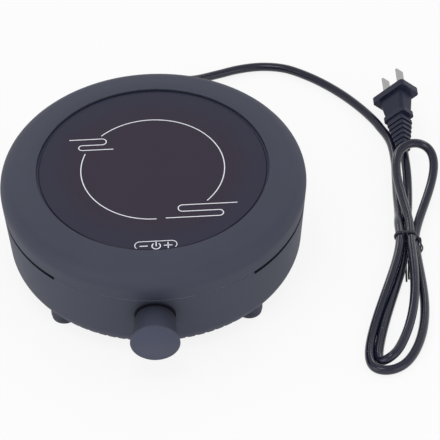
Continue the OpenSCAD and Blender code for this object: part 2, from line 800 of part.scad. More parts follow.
module fan_magnet() color("#3a3a3c") translate([0, 0, hub_z + 0.8])
  tube(hub_r - hub_wall - fit / 2, hub_r - hub_wall - magnet_t, hub_top - hub_wall - hub_z - 1);

module fan_shaft() color("#c9ccce") translate([0, 0, bearing_z + fit])
  cylinder(r = fan_shaft_r, h = hub_top - bearing_z - fit);

module fan_screws() color("#8c9096") at_points(fan_pins, fan_z + fan_h)
  pin_screw(fan_z + fan_h - pin_floor - 0.5);

// Power board

module on_board(x, y) {
  translate([x, power_y + y, power_top]) children();
}

module power_board() color("#2f5d3a") difference() {
  translate([0, power_y + power_w / 2, power_z]) block([power_l, power_w, board_t]);
  at_points(power_pins, power_z - past) cylinder(r = pin_hole_r, h = board_t + 2 * past);
}

module power_screws() color("#8c9096") at_points(power_pins, power_top) pin_screw(board_t + board_lift - 1);

module relay() color("#2c5f9e") on_board(-26, 20.5)
  rounded_block(relay_size.x, relay_size.y, relay_size.z, 1);

module transformer() color("#c9a227") on_board(25, 17) {
  block([winding_w, core_d + 2, core_h - 2]);
  translate([0, 0, 4]) block([core_w, core_d, 6]);
  translate([0, 0, core_h - 2]) block([core_w, core_leg, 2]);
  for (x = [-1, 1]) translate([x * (core_w - 4) / 2, 0, 0]) block([4, core_leg, core_h]);
}

module film_capacitor() color("#b5482f") on_board(-12, 5.5)
  rounded_block(film_size.x, film_size.y, film_size.z, 1);

module can_capacitor() color("#23262c") on_board(5, 6) rotate_extrude() polygon([[0, 0], [can_r, 0],
  [can_r, can_neck - 0.6], [can_r - 0.4, can_neck], [can_r, can_neck + 0.6],
  [can_r, can_h - 0.6], [can_r - 0.6, can_h], [0, can_h]]);

module heatsink() color("#a7abae") on_board(-28, 4.5) {
  translate([0, 2, 0]) block([sink_w, 2, sink_h]);
  for (k = [-2 : 2]) translate([k * fin_pitch, -1.5, 0]) block([fin_t, 6, sink_h]);
}

module triac() color("#26282b") on_board(-28, 9.75) {
  translate([0, 0, leg_h]) block([triac_w, 4.5, 9]);
  for (k = [-1 : 1]) translate([k * leg_pitch, 0, 0]) block([0.8, 0.8, leg_h + 1]);
  translate([0, -1.6, leg_h]) block([triac_w, 1.3, 15]);
}

module terminal_block() color("#3c6e47") difference() {
  on_board(0, power_w - 5.5) block([14, 10, cord_z + 5 - power_top]);
  for (x = [-1, 1]) translate([x * wire_x, power_y + power_w - wire_bite - 0.5, cord_z]) rotate([-90, 0, 0])
    cylinder(d = wire_d + 2 * fit, h = power_w);
}

// Control board, encoder and knob, built along the knob's axis

module control_board() color("#2f5d3a") at_front(control_y + board_t) difference() {
  block([control_l, control_w, board_t]);
  for (p = control_pins) translate([p.x, p.y, -past]) cylinder(r = pin_hole_r, h = board_t + 2 * past);
}

module control_screws() color("#8c9096") for (p = control_pins)
  at_front(control_y + board_t) translate([p.x, p.y, 0]) mirror([0, 0, 1]) pin_screw(board_t + 3.5);

module encoder_case() color("#b9bcbf") at_front(control_y) difference() {
  union() {
    block([encoder_side, encoder_side + 0.5, encoder_l]);
    translate([0, 0, encoder_l - 0.5]) cylinder(r = bushing_r, h = bushing_l + 0.5);
  }
  translate([0, 0, case_floor]) cylinder(r = encoder_side / 2 - 1, h = encoder_l - case_floor - case_lid);
  translate([0, 0, case_floor]) cylinder(r = shaft_r + run, h = encoder_l + bushing_l);
}

module switch_dome() color("#d0d2d4") at_front(control_y) translate([0, 0, case_floor])
  cylinder(r = dome_r, h = dome_t);

module encoder_rotor() color("#d8d5cb") at_front(control_y) translate([0, 0, rotor_z]) difference() {
  cylinder(r = encoder_side / 2 - 1.3, h = rotor_h);
  translate([0, 0, -past]) flatted(shaft_r + run, shaft_flat_x + run, rotor_h + 2 * past);
}

module encoder_shaft() color("#c4c7c9") at_front(control_y) translate([0, 0, shaft_start]) {
  tip = control_y - knob_y + knob_l - knob_front - slack - shaft_start;
  round_from = rotor_z + rotor_h + press + slack - shaft_start;
  round_to = control_y - knob_y - shaft_start;
  flatted(shaft_r, shaft_flat_x, tip);
  translate([0, 0, round_from]) cylinder(r = shaft_r, h = round_to - round_from);
}

module knob() color("#4c4e5a") at_front(knob_y) difference() {
  union() {
    difference() {
      rotate_extrude() polygon([[0, 0], [knob_root_d / 2, 0], [knob_d / 2, knob_l - knob_edge],
        [knob_d / 2 - knob_edge, knob_l], [0, knob_l]]);
      translate([0, 0, -past]) cylinder(r = knob_root_d / 2 - knob_wall, h = knob_l - knob_front + past);
    }
    translate([0, 0, hub_back]) cylinder(r = knob_hub_r, h = knob_l - hub_back - knob_front / 2);
    for (a = [60, 180, 300]) rotate(a)
      translate([knob_hub_r - knob_rib_t / 2, -knob_rib_t / 2, knob_l - knob_front - knob_rib_h])
        cube([knob_root_d / 2 - knob_hub_r, knob_rib_t, knob_rib_h + 1]);
  }
  translate([0, 0, -past]) flatted(shaft_r + fit / 2, shaft_flat_x + fit / 2, knob_l - knob_front + past);
}

module knob_clip() color("#a4a8ab") at_front(knob_y) translate([0, 0, hub_back + 1]) rotate(20)
  rotate_extrude(angle = 320) translate([knob_hub_r + fit / 2, 0]) square([clip_t, clip_w]);

// Cord entry

module cord_boot() color("#1d1e22") at_back(0) rotate_extrude() difference() {
  inside = back_r - wall - boot_ease - boot_flange_t;
  outside = back_r + boot_ease + boot_flange_t;
  union() {
    translate([0, inside]) square([boot_flange_r, boot_flange_t]);
    translate([0, inside]) square([boot_neck_r, outside - inside]);
    translate([0, outside - boot_flange_t]) square([boot_flange_r, boot_flange_t]);
    polygon([[0, back_r], [boot_neck_r, outside - boot_flange_t], [boot_tip_r, boot_end], [0, boot_end]]);
  }
  translate([-past, 0]) square([cord_r + run + past, 2 * body_r]);
  for (k = [1 : boot_ribs]) translate([boot_tip_r, outside + k * (boot_end - outside) / (boot_ribs + 1)])
    square([boot_flange_r, rib_gap]);
}

module cord_clamp() color("#3a3c42") difference() {
  translate([0, clamp_y, cord_z]) block([2 * (clamp_x + pin_post_r), clamp_w, clamp_h]);
  at_back(0) cylinder(r = cord_r + fit, h = body_r);
  at_points(clamp_pins, cord_z - past) cylinder(r = pin_hole_r, h = clamp_h + 2 * past);
}

module clamp_screws() color("#8c9096") at_points(clamp_pins, cord_z + clamp_h)
  pin_screw(clamp_h + post_bore - 1);

module inner_lead() color("#26272e") {
  at_back(lead_start) cylinder(r = cord_r, h = boot_end - lead_start);
  for (x = [-1, 1]) translate([x * wire_x, power_y + power_w - wire_bite, cord_z]) rotate([-90, 0, 0])
    cylinder(d = wire_d, h = lead_start - power_y - power_w + wire_bite + 0.5);
}

// Cord, hank, tie and plug

module mains_cord() color("#2b2d3a") swept_tube(cord_route, cord_r, cord_sides);

module cord_hank() color("#2b2d3a") swept_tube(hank_route, cord_r, hank_sides);

module tie_outline(grow) {
  hull() {
    for (x = [back_low, front_low]) translate([x, waist_low]) circle(cord_r + tie_slack + grow, $fn = 32);
    for (x = [back_top, front_top]) translate([x, waist_top]) circle(cord_r + tie_slack + grow, $fn = 32);
  }
}

module cord_tie() color("#141417") translate([hank_at.x, hank_at.y, 0]) {
  for (y = [-1, 1]) translate([0, (y + 0.5) * tie_w, 0]) rotate([90, 0, 0]) linear_extrude(tie_w)
    difference() {
      tie_outline(tie_t);
      tie_outline(0);
    }
  translate([front_low + cord_r + tie_slack + tie_t + slack, tie_w, waist_low]) rotate([90, 0, 0])
    cylinder(r = tie_t, h = 10 * tie_w);
}

// Block with round corners at a height along the plug
module plug_slice(z, size, h, r) {
  translate([0, 0, z]) rounded_block(size.x, size.y, h, r, $fn = 32);
}

module plug_relief() color("#24252d") at_plug() {
  hull() {
    plug_slice(0, relief_tip - [rib_depth, rib_depth] * 2, past, relief_round - rib_depth);
    plug_slice(relief_l - past, relief_root - [rib_depth, rib_depth] * 2, past, relief_round - rib_depth);
  }
  for (k = [0 : relief_n - 1])
    plug_slice(k * relief_pitch, mix(relief_tip, relief_root, k / (relief_n - 1)), relief_pitch - rib_gap,
      relief_round);
}

module plug_body() color("#24252d") at_plug() difference() {
  union() {
    plug_slice(relief_l, collar_size, collar_h, plug_round);
    hull() {
      plug_slice(grip_z, grip_start, past, plug_round);
      plug_slice(flange_z - past, grip_end, past, plug_round);
    }
    plug_slice(flange_z, [flange_w, flange_d], flange_t, plug_round);
  }
  at_prongs() translate([0, 0, -prong_root]) block([prong_t + fit, prong_w + fit, prong_root + past]);
}

module at_prongs() {
  for (x = [-1, 1]) translate([x * prong_pitch / 2, 0, flange_z + flange_t]) children();
}

module plug_blades() color("#c9c7bd") at_plug() at_prongs() translate([0, 0, -prong_root])
  block([prong_t, prong_w, prong_root + prong_l]);

top_cover();
base_shell();
glass_plate();
glass_seal();
rubber_feet();
housing_screws();
heater_pan();
insulation_dish();
heating_coil();
limiter_rod();
limiter_head();
terminal_strip();
terminal_tabs();
heater_bracket();
bracket_screws();
pan_springs();
fan_frame();
fan_bearing();
fan_stator();
fan_rotor();
fan_magnet();
fan_shaft();
fan_screws();
power_board();
power_screws();
relay();
transformer();
film_capacitor();
can_capacitor();
heatsink();
triac();
terminal_block();
control_board();
control_screws();
encoder_case();
switch_dome();
encoder_rotor();
encoder_shaft();
knob();
knob_clip();
cord_boot();
cord_clamp();
clamp_screws();
inner_lead();
mains_cord();
cord_hank();
cord_tie();
plug_relief();
plug_body();
plug_blades();
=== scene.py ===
# %% [markdown]
# A round hot plate, dressed
# The CAD model brings the exact shells, glass, knob, fan and boards. This lesson loads it as a fixed
# frame, then adds what solids can't give: the finishes, the smooth cord, the wire tie, two thin pieces
# that carry painted light and shade (a pale bead in the parting line and a dark ring behind the knob)
# and the white print on the glass. Everything is in metres, in the frame of the CAD model.

# %% Load the frame
import math
import bmesh
import bpy
import numpy as np
from mathutils import Matrix, Vector


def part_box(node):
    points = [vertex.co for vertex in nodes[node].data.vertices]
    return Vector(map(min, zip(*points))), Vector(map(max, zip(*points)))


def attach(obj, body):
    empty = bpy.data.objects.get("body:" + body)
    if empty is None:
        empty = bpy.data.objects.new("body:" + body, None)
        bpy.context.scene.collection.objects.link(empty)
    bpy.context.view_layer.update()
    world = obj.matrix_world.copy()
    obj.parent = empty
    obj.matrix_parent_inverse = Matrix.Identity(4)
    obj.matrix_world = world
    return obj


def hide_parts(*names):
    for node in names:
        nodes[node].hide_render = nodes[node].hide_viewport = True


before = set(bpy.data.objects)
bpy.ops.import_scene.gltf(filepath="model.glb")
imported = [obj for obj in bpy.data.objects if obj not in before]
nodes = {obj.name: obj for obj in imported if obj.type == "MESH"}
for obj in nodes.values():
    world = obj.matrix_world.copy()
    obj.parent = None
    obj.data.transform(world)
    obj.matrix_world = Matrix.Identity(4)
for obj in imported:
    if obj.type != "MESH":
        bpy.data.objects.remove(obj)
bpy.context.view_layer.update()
MM = 0.001

# %% [markdown]
# The camera
# A product photo is taken with a long lens from well above the table. A camera can be aimed by eye,
# or set from three measured directions: right, down and ahead. The directions are used here, because
# they hold the small tilt of the picture too. The focal length is given in pixels of a 440 pixel image.

# %% Camera
IMAGE_PX = 440
FOCAL_PX = 2600
SENSOR_MM = 36
FAR_CLIP = 20
EYE = (0.04171, -1.19602, 1.20552)
RIGHT = Vector((0.99959, -0.02012, -0.02036))
DOWN = Vector((-0.02862, -0.70261, -0.71100))
AHEAD = Vector((0.0, 0.71129, -0.70290))

camera_data = bpy.data.cameras.new("photo_camera")
camera = bpy.data.objects.new("photo_camera", camera_data)
bpy.context.scene.collection.objects.link(camera)
camera_data.sensor_width = SENSOR_MM
camera_data.lens = FOCAL_PX * SENSOR_MM / IMAGE_PX
camera_data.clip_end = FAR_CLIP
aim = Matrix((RIGHT, -DOWN, -AHEAD)).transposed().to_4x4()
aim.translation = EYE
camera.matrix_world = aim
bpy.context.scene.camera = camera
print("camera: lens", round(camera_data.lens, 1), "mm")

# %% [markdown]
# The route of the cord
# The mains cord leaves the boot at the back, falls to the table, swings round to the right and goes
# into a hank, and from the hank a last run leads to the plug. A cord could be simulated, but this one
# lies at rest, so its middle line is written down, as points in millimetres.

# %% Free stretch and leads
CORD_D = 6.0
CORD_R = CORD_D / 2
CORD_Z = 21.0
STRAIGHT_OUT = 9.0
boot_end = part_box("cord_boot")[1].y / MM
FREE = [
    (0, boot_end, CORD_Z), (0, boot_end + STRAIGHT_OUT, CORD_Z), (1.8, 137.5, 19.4), (7, 146, 15.6),
    (15.5, 151.5, 11), (27, 155.8, 7.2), (43, 163.4, 4.6), (58, 169.8, 3.2), (74, 172, 3),
    (90, 169.3, 3), (105, 161, 3), (118, 150.8, 3), (129, 140, 3), (138, 129.3, 3),
    (145, 119.5, 3), (150, 111.2, 3), (153, 105, 3),
]
LEAD_IN = [
    (156, 99, 3), (158.4, 92, 3), (159.8, 83, 3), (160.4, 70, 3), (160, 55, 3), (159.6, 40, 3.1),
    (159.5, 29, 3.8), (159.1, 18, 5.8), (158.1, 7, 9.3),
]
PLUG_AT = np.array((166.3, 76.2, 9.45))
PLUG_YAW, PLUG_PITCH = math.radians(3), math.radians(7)
PLUG_DIR = np.array((-math.sin(PLUG_YAW) * math.cos(PLUG_PITCH),
                     math.cos(PLUG_YAW) * math.cos(PLUG_PITCH), math.sin(PLUG_PITCH)))
LEAD_OUT = [
    (161.8, 1, 4.4), (163.1, 9, 3.9), (164.9, 20, 3.3), (166.3, 34, 3), (167, 46, 3.8), (167.2, 56, 5.8),
    PLUG_AT - 2 * CORD_D * PLUG_DIR, PLUG_AT - CORD_D * PLUG_DIR, PLUG_AT,
]
print("free stretch:", len(FREE), "points, leads:", len(LEAD_IN), "and", len(LEAD_OUT))

# %% [markdown]
# The hank
# The rest of the cord is folded into lobes that are drawn in at a waist, where a wire tie holds them.
# They could be points too, but one formula keeps them smooth and alike: a lobe leaves the waist
# straight, leans to a side, widens and closes in a round end. At the waist the strands lie two on two.

# %% Lobe formula
HANK_AT = np.array((163.1, -4.6))
STRAND_GAP = 0.5
STRAND = CORD_D + STRAND_GAP
TIE_T, TIE_SLACK, FIT = 1.1, 0.5, 0.1
WAIST_LOW = CORD_R + TIE_T + TIE_SLACK + FIT
WAIST_TOP = WAIST_LOW + math.sqrt((STRAND + FIT) ** 2 - STRAND ** 2 / 4)
BACK_LOW, FRONT_LOW = -STRAND / 4, STRAND * 3 / 4
BACK_TOP, FRONT_TOP = -STRAND * 3 / 4, STRAND / 4
HOLD_POWER, BULB_POWER = 4, 14


def ease(t):
    t = min(max(t, 0.0), 1.0)
    return t * t * (3 - 2 * t)


def lobe(t, length, start, end, lean, sweep, half, pear=0, bulb=0):
    """Place on one lobe: it leaves the waist straight, leans, widens like a pear and ends in a bulb."""
    s = math.sin(math.pi * t)
    hold = 1 - (1 - s) ** HOLD_POWER
    spread = half * (1 - 2 * pear * math.cos(2 * math.pi * t)) + bulb * s ** BULB_POWER
    x = start + (end - start) * ease(t) + lean * s ** sweep + hold * spread * math.sin(2 * math.pi * t)
    return HANK_AT + (x, length * s)


print("waist: strands at", round(WAIST_LOW, 2), "and", round(WAIST_TOP, 2), "mm")

# %% [markdown]
# The three lobes
# A large lobe lies towards the front, the next rises back beside the plug, and the third lies inside the
# first and crosses over it. They could all lie flat, but then the strands would cut through each other.
# So each has its own height along the way: it leaves the waist, sinks to the table and climbs back.

# %% Three lobes
LOOP_Z = 17.0
LOBE_STEPS = 48
# Shares of a lobe's run: over which a strand sinks to the table, and over which it climbs back.
OUTER_DROP, INNER_DROP, CLIMB = 0.28, 0.3, 0.12
# The inner lobe is lifted by this much until it has crossed over the outer one.
FOLD_LIFT, CROSS_FROM, CROSS_FOR = 4.5, 0.42, 0.16


def settle(z, t):
    """Height above the table of a strand that starts at z and comes down by t = 1."""
    return (z - CORD_R) * (1 - ease(t))


def outer_lobe(t):
    z = CORD_R + settle(WAIST_TOP, t / OUTER_DROP) + settle(WAIST_LOW, (1 - t) / CLIMB)
    place = lobe(t, length=-111.3, start=BACK_TOP, end=FRONT_LOW, lean=-20.7, sweep=1.7, half=-12.4,
                 pear=0.07, bulb=-3.3)
    return (*place, z)


def upper_lobe(t):
    rise = LOOP_Z - (WAIST_LOW + WAIST_TOP) / 2
    z = WAIST_LOW + (WAIST_TOP - WAIST_LOW) * ease(t) + rise * math.sin(math.pi * t) ** 2
    place = lobe(t, length=79, start=FRONT_LOW, end=FRONT_TOP, lean=7.7, sweep=1, half=11.2, pear=0.14)
    return (*place, z)


def inner_lobe(t):
    over = FOLD_LIFT * (1 - ease((t - CROSS_FROM) / CROSS_FOR))
    sunk = settle(WAIST_TOP - FOLD_LIFT, t / INNER_DROP)
    z = CORD_R + sunk + over + settle(WAIST_LOW, (1 - t) / CLIMB)
    place = lobe(t, length=-104.6, start=FRONT_TOP, end=BACK_LOW, lean=-20.8, sweep=1.7, half=7.2,
                 bulb=3.1)
    return (*place, z)


hank = [f(i / LOBE_STEPS) for f in (outer_lobe, upper_lobe, inner_lobe) for i in range(LOBE_STEPS)]
route = np.array([tuple(p) for p in FREE + LEAD_IN + hank + [inner_lobe(1)] + LEAD_OUT], float)
print("cord route:", len(route), "points")

# %% [markdown]
# A line through the points
# A cord bends evenly, so its line has to be smooth. Blender's own splines could round it, but they miss
# the points or swing out between them. This line runs through every point, and its pace is the root of
# the gap between points, which keeps it from overshooting where they stand close together.

# %% Smooth line
CORD_STEP = 2.5


def smooth_line(points, step):
    points = np.asarray(points, float)
    ends = np.vstack((2 * points[0] - points[1], points, 2 * points[-1] - points[-2]))
    out = []
    for p0, p1, p2, p3 in zip(ends, ends[1:], ends[2:], ends[3:]):
        k = np.cumsum([0] + [max(np.linalg.norm(b - a), 1e-6) ** 0.5
                             for a, b in ((p0, p1), (p1, p2), (p2, p3))])
        count = max(2, int(np.linalg.norm(p2 - p1) / step) + 1)
        for u in np.linspace(k[1], k[2], count, endpoint=False):
            a1 = ((k[1] - u) * p0 + (u - k[0]) * p1) / (k[1] - k[0])
            a2 = ((k[2] - u) * p1 + (u - k[1]) * p2) / (k[2] - k[1])
            a3 = ((k[3] - u) * p2 + (u - k[2]) * p3) / (k[3] - k[2])
            b1 = ((k[2] - u) * a1 + (u - k[0]) * a2) / (k[2] - k[0])
            b2 = ((k[3] - u) * a2 + (u - k[1]) * a3) / (k[3] - k[1])
            out.append(((k[2] - u) * b1 + (u - k[1]) * b2) / (k[2] - k[1]))
    return np.array(out + [points[-1]])


cord_line = smooth_line(route, CORD_STEP)

# %% [markdown]
# The cord itself
# The jacket is one smooth round tube. A tube could be meshed by hand, but a curve object with a round
# bevel keeps the middle line as it is. The thickness is carried by the points, with a bevel of 1,
# because Blender adds a point's radius to the box that it reports for the curve.

# %% Cord
CORD_BEVEL = 6


def curve_piece(name, line_mm, radius_mm, resolution):
    data = bpy.data.curves.new(name, "CURVE")
    data.dimensions = "3D"
    data.bevel_depth = 1.0
    data.bevel_resolution = resolution
    data.use_fill_caps = True
    spline = data.splines.new("POLY")
    spline.points.add(len(line_mm) - 1)
    spline.points.foreach_set("co", np.c_[line_mm * MM, np.ones(len(line_mm))].ravel())
    spline.points.foreach_set("radius", np.full(len(line_mm), radius_mm * MM))
    spline.use_smooth = True
    obj = bpy.data.objects.new(name, data)
    bpy.context.scene.collection.objects.link(obj)
    return obj


cord = curve_piece("mains_cord_jacket", cord_line, CORD_R, CORD_BEVEL)
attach(cord, "housing")
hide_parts("mains_cord", "cord_hank")
print("cord:", cord.name, "of", CORD_D, "mm")

# %% [markdown]
# Tools for wire and trim
# The tie is bent from thin coated wire, and the smaller trims are strips. Each could be a curve of its
# own, but then every run of wire would be a piece. So one tool sweeps a tube along a line into a common
# mesh, one closes a row of rings to a solid, and one turns the mesh into a piece.

# %% Swept tubes
def join_rings(mesh, rings):
    """Closes a row of rings of points to a solid, with a face at each end."""
    sides = len(rings[0])
    for a, b in zip(rings, rings[1:]):
        for k in range(sides):
            n = (k + 1) % sides
            mesh.faces.new((a[k], b[k], b[n], a[n]))
    mesh.faces.new(rings[0])
    mesh.faces.new(rings[-1][::-1])


def swept(mesh, line_mm, radius_mm, sides):
    """Adds a closed round tube along a line to a bmesh."""
    line = np.asarray(line_mm, float)
    tangent = np.gradient(line, axis=0)
    tangent /= np.linalg.norm(tangent, axis=1)[:, None]
    side = np.cross(tangent[0], (0.0, 0.0, 1.0))
    if np.linalg.norm(side) < 1e-3:
        side = np.cross(tangent[0], (1.0, 0.0, 0.0))
    angles = [2 * math.pi * k / sides for k in range(sides)]
    rings = []
    for p, t in zip(line, tangent):
        side = side - t * (side @ t)
        side /= np.linalg.norm(side)
        up = np.cross(t, side)
        rings.append([mesh.verts.new((p + radius_mm * (math.cos(a) * side + math.sin(a) * up)) * MM)
                      for a in angles])
    join_rings(mesh, rings)


def mesh_piece(name, mesh, smooth=True):
    bmesh.ops.recalc_face_normals(mesh, faces=mesh.faces)
    data = bpy.data.meshes.new(name)
    mesh.to_mesh(data)
    mesh.free()
    for f in data.polygons:
        f.use_smooth = smooth
    obj = bpy.data.objects.new(name, data)
    bpy.context.scene.collection.objects.link(obj)
    return obj


print("tubes: helpers ready")

# %% [markdown]
# The wire tie
# The wire goes twice round the waist of the hank, is twisted together at the right and ends in two loose
# tails. It could be a plain ring, but a real tie follows the cord and its ends show. So the turns take
# the outline of the four strands, like a band pulled tight: for each direction the strand that reaches
# furthest carries the wire. The twist is a double helix, and the tails lie between the strands.

# %% Wire tie
WIRE_R, WIRE_GAP = 0.5, 0.1
BAND_POINTS = 72
WRAPS, WRAP_SLANT, WRAP_STEP, WRAP_SIDES = (-1.8, -0.85), 0.7, 1.0, 10
TWIST_TURNS, TWIST_R, TWIST_STEP, TWIST_SIDES = 0.9, 0.62, 0.4, 8
TWIST = [
    (170.7, -5.4, 7.6), (171.5, -8.6, 6.6), (171.9, -12.4, 5.2), (171.1, -15.6, 3.9), (170.0, -17.6, 3.0),
]
TAIL_R, TAIL_STEP, TAIL_SIDES = WIRE_R * 1.3, 1.5, 8
TAILS = [
    [(161.6, -15.0, 1.6), (161.0, -24.0, 1.2), (160.6, -32.0, 1.3), (160.3, -39.0, 1.9)],
    [(163.0, -15.0, 1.5), (162.8, -24.0, 1.1), (162.2, -31.0, 1.2), (162.0, -36.5, 1.4)],
]


def band(grow, count):
    """Outline of a band round the four strands at the waist, as x and z."""
    strands = [(BACK_LOW, WAIST_LOW), (FRONT_LOW, WAIST_LOW), (BACK_TOP, WAIST_TOP), (FRONT_TOP, WAIST_TOP)]
    ring = []
    for k in range(count):
        a = 2 * math.pi * k / count
        d = np.array((math.cos(a), math.sin(a)))
        ring.append(max((np.array(c) for c in strands), key=lambda c: c @ d) + grow * d)
    return np.array(ring)


tie = bmesh.new()
outline = band(CORD_R + WIRE_R + WIRE_GAP, BAND_POINTS)
slant = [WRAP_SLANT * math.cos(2 * math.pi * k / BAND_POINTS) for k in range(BAND_POINTS)]
for wrap_y in WRAPS:
    loop = [(HANK_AT[0] + p[0], HANK_AT[1] + wrap_y + d, p[1]) for p, d in zip(outline, slant)]
    swept(tie, smooth_line(loop + loop[:1], WRAP_STEP), WIRE_R, WRAP_SIDES)
twist_axis = smooth_line(TWIST, TWIST_STEP)
for phase in (0.0, math.pi):
    turn = phase + np.linspace(0, 2 * math.pi * TWIST_TURNS, len(twist_axis))
    helix = twist_axis + TWIST_R * np.c_[np.cos(turn), 0 * turn, np.sin(turn)]
    swept(tie, helix, WIRE_R, TWIST_SIDES)
for tail in TAILS:
    swept(tie, smooth_line(tail, TAIL_STEP), TAIL_R, TAIL_SIDES)
wire_tie = mesh_piece("wire_tie", tie)
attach(wire_tie, "housing")
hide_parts("cord_tie")
print("wire tie:", len(wire_tie.data.polygons), "faces")

# %% [markdown]
# White print on the glass
# The plate carries a few thin white lines of enamel. A picture could be mapped on the glass, but enamel
# is a thin raised layer, so each stroke is a flat ribbon that stands a few hundredths of a millimetre
# proud of the plate. The print as a whole is turned a little against the knob.

# %% Ribbons
glass_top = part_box("glass_plate")[1].z / MM
PRINT_TURN = math.radians(1.7)
PRINT_T = 0.05
ARC_DEGREES, ARC_LEAST = 4, 6


def arc(cx, cy, r, start, end):
    count = max(ARC_LEAST, int(abs(end - start) / ARC_DEGREES))
    return [(cx + r * math.cos(math.radians(a)), cy + r * math.sin(math.radians(a)))
            for a in np.linspace(start, end, count)]


def ribbon(mesh, line, width):
    """Adds a flat closed ribbon along a line on the glass."""
    line = np.asarray(line, float)
    way = np.gradient(line, axis=0)
    way /= np.linalg.norm(way, axis=1)[:, None]
    across = np.c_[-way[:, 1], way[:, 0]] * width / 2
    c, s = math.cos(PRINT_TURN), math.sin(PRINT_TURN)
    turn = np.array(((c, s), (-s, c)))
    rows = []
    for offset, z in ((across, 0.0), (-across, 0.0), (-across, PRINT_T), (across, PRINT_T)):
        flat = (line + offset) @ turn
        rows.append([mesh.verts.new((x * MM, y * MM, (glass_top + z) * MM)) for x, y in flat])
    join_rings(mesh, list(zip(*rows)))


print("ribbons: helpers ready, glass at", round(glass_top, 2), "mm")

# %% [markdown]
# The cooking zone
# The zone is a thin broken ring with two cloud bands, an old ornament of level lines that turn back on
# themselves. The bands could be traced point by point, but they are only lines and half turns, so a few
# measures give each of them.

# %% Zone on the glass
RING_R, RING_W = 45.6, 0.62
RING_ARCS = [(134.6, -43.4), (158.9, 271.3)]
# Of each band: heights of its three lines, start of the first, the two turns, end of the last.
CLOUD_BANDS = [
    ((29.8, 24.3, 19.8), -52.6, (-31.7, -44.4), -24.5),
    ((-34.3, -40.0, -45.2), 51.9, (17.6, 40.2), 6.7),
]


def cloud_band(levels, x_from, x_turns, x_to):
    """Three level lines joined by two half turns."""
    high, mid, low = levels
    xa, xb = x_turns
    side = math.copysign(1, xa - x_from)
    first, second = (high - mid) / 2, (mid - low) / 2
    turn_a = arc(xa, mid + first, first, 90, 90 - 180 * side)
    turn_b = arc(xb, low + second, second, 90, 90 + 180 * side)
    return [(x_from, high), *turn_a, *turn_b, (x_to, low)]


zone = bmesh.new()
for start, end in RING_ARCS:
    ribbon(zone, arc(0, 0, RING_R, start, end), RING_W)
for levels, x_from, x_turns, x_to in CLOUD_BANDS:
    ribbon(zone, cloud_band(levels, x_from, x_turns, x_to), RING_W)
zone_print = mesh_piece("zone_print", zone, smooth=False)
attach(zone_print, "housing")
print("zone print:", len(zone_print.data.polygons), "faces")

# %% [markdown]
# Signs above the knob
# Near the front edge stand the signs for less, power and more under a bracket. A font could give some of
# them, but its strokes would differ from the ring's. So they are ribbons too, of a slightly wider
# stroke, and the bracket is a finer one.

# %% Signs
SIGN_W = 0.68
SIGN_Y, SIGN_R = -69.0, 2.6
LESS_FROM, LESS_TO = -10.4, -5.2
MORE_X = 7.35
POWER_DROP, POWER_FROM, POWER_TO = 0.3, 128, 412
STEM_TOP, STEM_LOW = 3.2, 0.6
BRACKET_R, BRACKET_RISE, BRACKET_W = 3.2, 0.7, SIGN_W * 0.75
BRACKET_LEFT, BRACKET_RIGHT = (-10.0, 228, 90), (9.6, 90, -50)

signs = bmesh.new()
ribbon(signs, [(LESS_FROM, SIGN_Y), (LESS_TO, SIGN_Y)], SIGN_W)
ribbon(signs, arc(0, SIGN_Y - POWER_DROP, SIGN_R, POWER_FROM, POWER_TO), SIGN_W)
ribbon(signs, [(0, SIGN_Y + STEM_TOP), (0, SIGN_Y - STEM_LOW)], SIGN_W)
ribbon(signs, [(MORE_X - SIGN_R, SIGN_Y), (MORE_X + SIGN_R, SIGN_Y)], SIGN_W)
ribbon(signs, [(MORE_X, SIGN_Y - SIGN_R), (MORE_X, SIGN_Y + SIGN_R)], SIGN_W)
bracket = []
for x, start, end in (BRACKET_LEFT, BRACKET_RIGHT):
    bracket += arc(x, SIGN_Y + BRACKET_RISE, BRACKET_R, start, end)
ribbon(signs, bracket, BRACKET_W)
sign_print = mesh_piece("sign_print", signs, smooth=False)
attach(sign_print, "housing")
print("sign print:", len(sign_print.data.polygons), "faces")

# %% [markdown]
# The parting line
# Cover and base meet in a fine groove. Between the vent slits the edges close it almost flush and catch
# a little light. That could be a painted stripe, but the groove would still be open and dark. So a thin
# bead lies in it there: a small square section turned round the axis. Its pale colour is a painted
# highlight where the edges catch the light.

# %% Parting line
seam_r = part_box("base_shell")[1].x / MM
seam_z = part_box("top_cover")[0].z / MM
BEAD_T, BEAD_LOW, BEAD_TOP = 0.38, 0.02, 0.38
BEAD = [(BEAD_T, BEAD_LOW), (0.0, BEAD_LOW), (0.0, BEAD_TOP), (BEAD_T, BEAD_TOP)]
BEAD_SECTORS = [(-129, -51), (51, 129)]
BEAD_STEPS = 60

bead = bmesh.new()
for start, end in BEAD_SECTORS:
    rings = []
    for a in np.radians(np.linspace(start, end, BEAD_STEPS)):
        section = [((seam_r - d) * math.cos(a), (seam_r - d) * math.sin(a), seam_z + z) for d, z in BEAD]
        rings.append([bead.verts.new(Vector(v) * MM) for v in section])
    join_rings(bead, rings)
seam_bead = mesh_piece("seam_bead", bead, smooth=False)
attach(seam_bead, "housing")
print("parting line: bead of", len(seam_bead.data.polygons), "faces at", round(seam_z, 2), "mm")

# %% [markdown]
# The painted shade behind the knob
# The knob stands a little off the wall, so that it can be pressed, and the gap behind it lies in shade.
# That shade is painted: a thin black ring lies on the wall round the knob. A flat ring would stand off
# the curved wall at its edges. So a ray is cast for each of its points, and the point lies where the ray
# meets the base.

# %% Painted shade ring
SHADE_RING_IN, SHADE_RING_OUT = 9.0, 12.9
SHADE_RING_UNDER, SHADE_RING_OVER = 0.02, 0.12
SHADE_RING_STEPS, SHADE_RING_ROWS = 72, 4
RAY_BEFORE = 1.0
knob_low, knob_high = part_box("knob")
knob_z = (knob_low.z + knob_high.z) / 2
ray_y = knob_high.y - RAY_BEFORE * MM

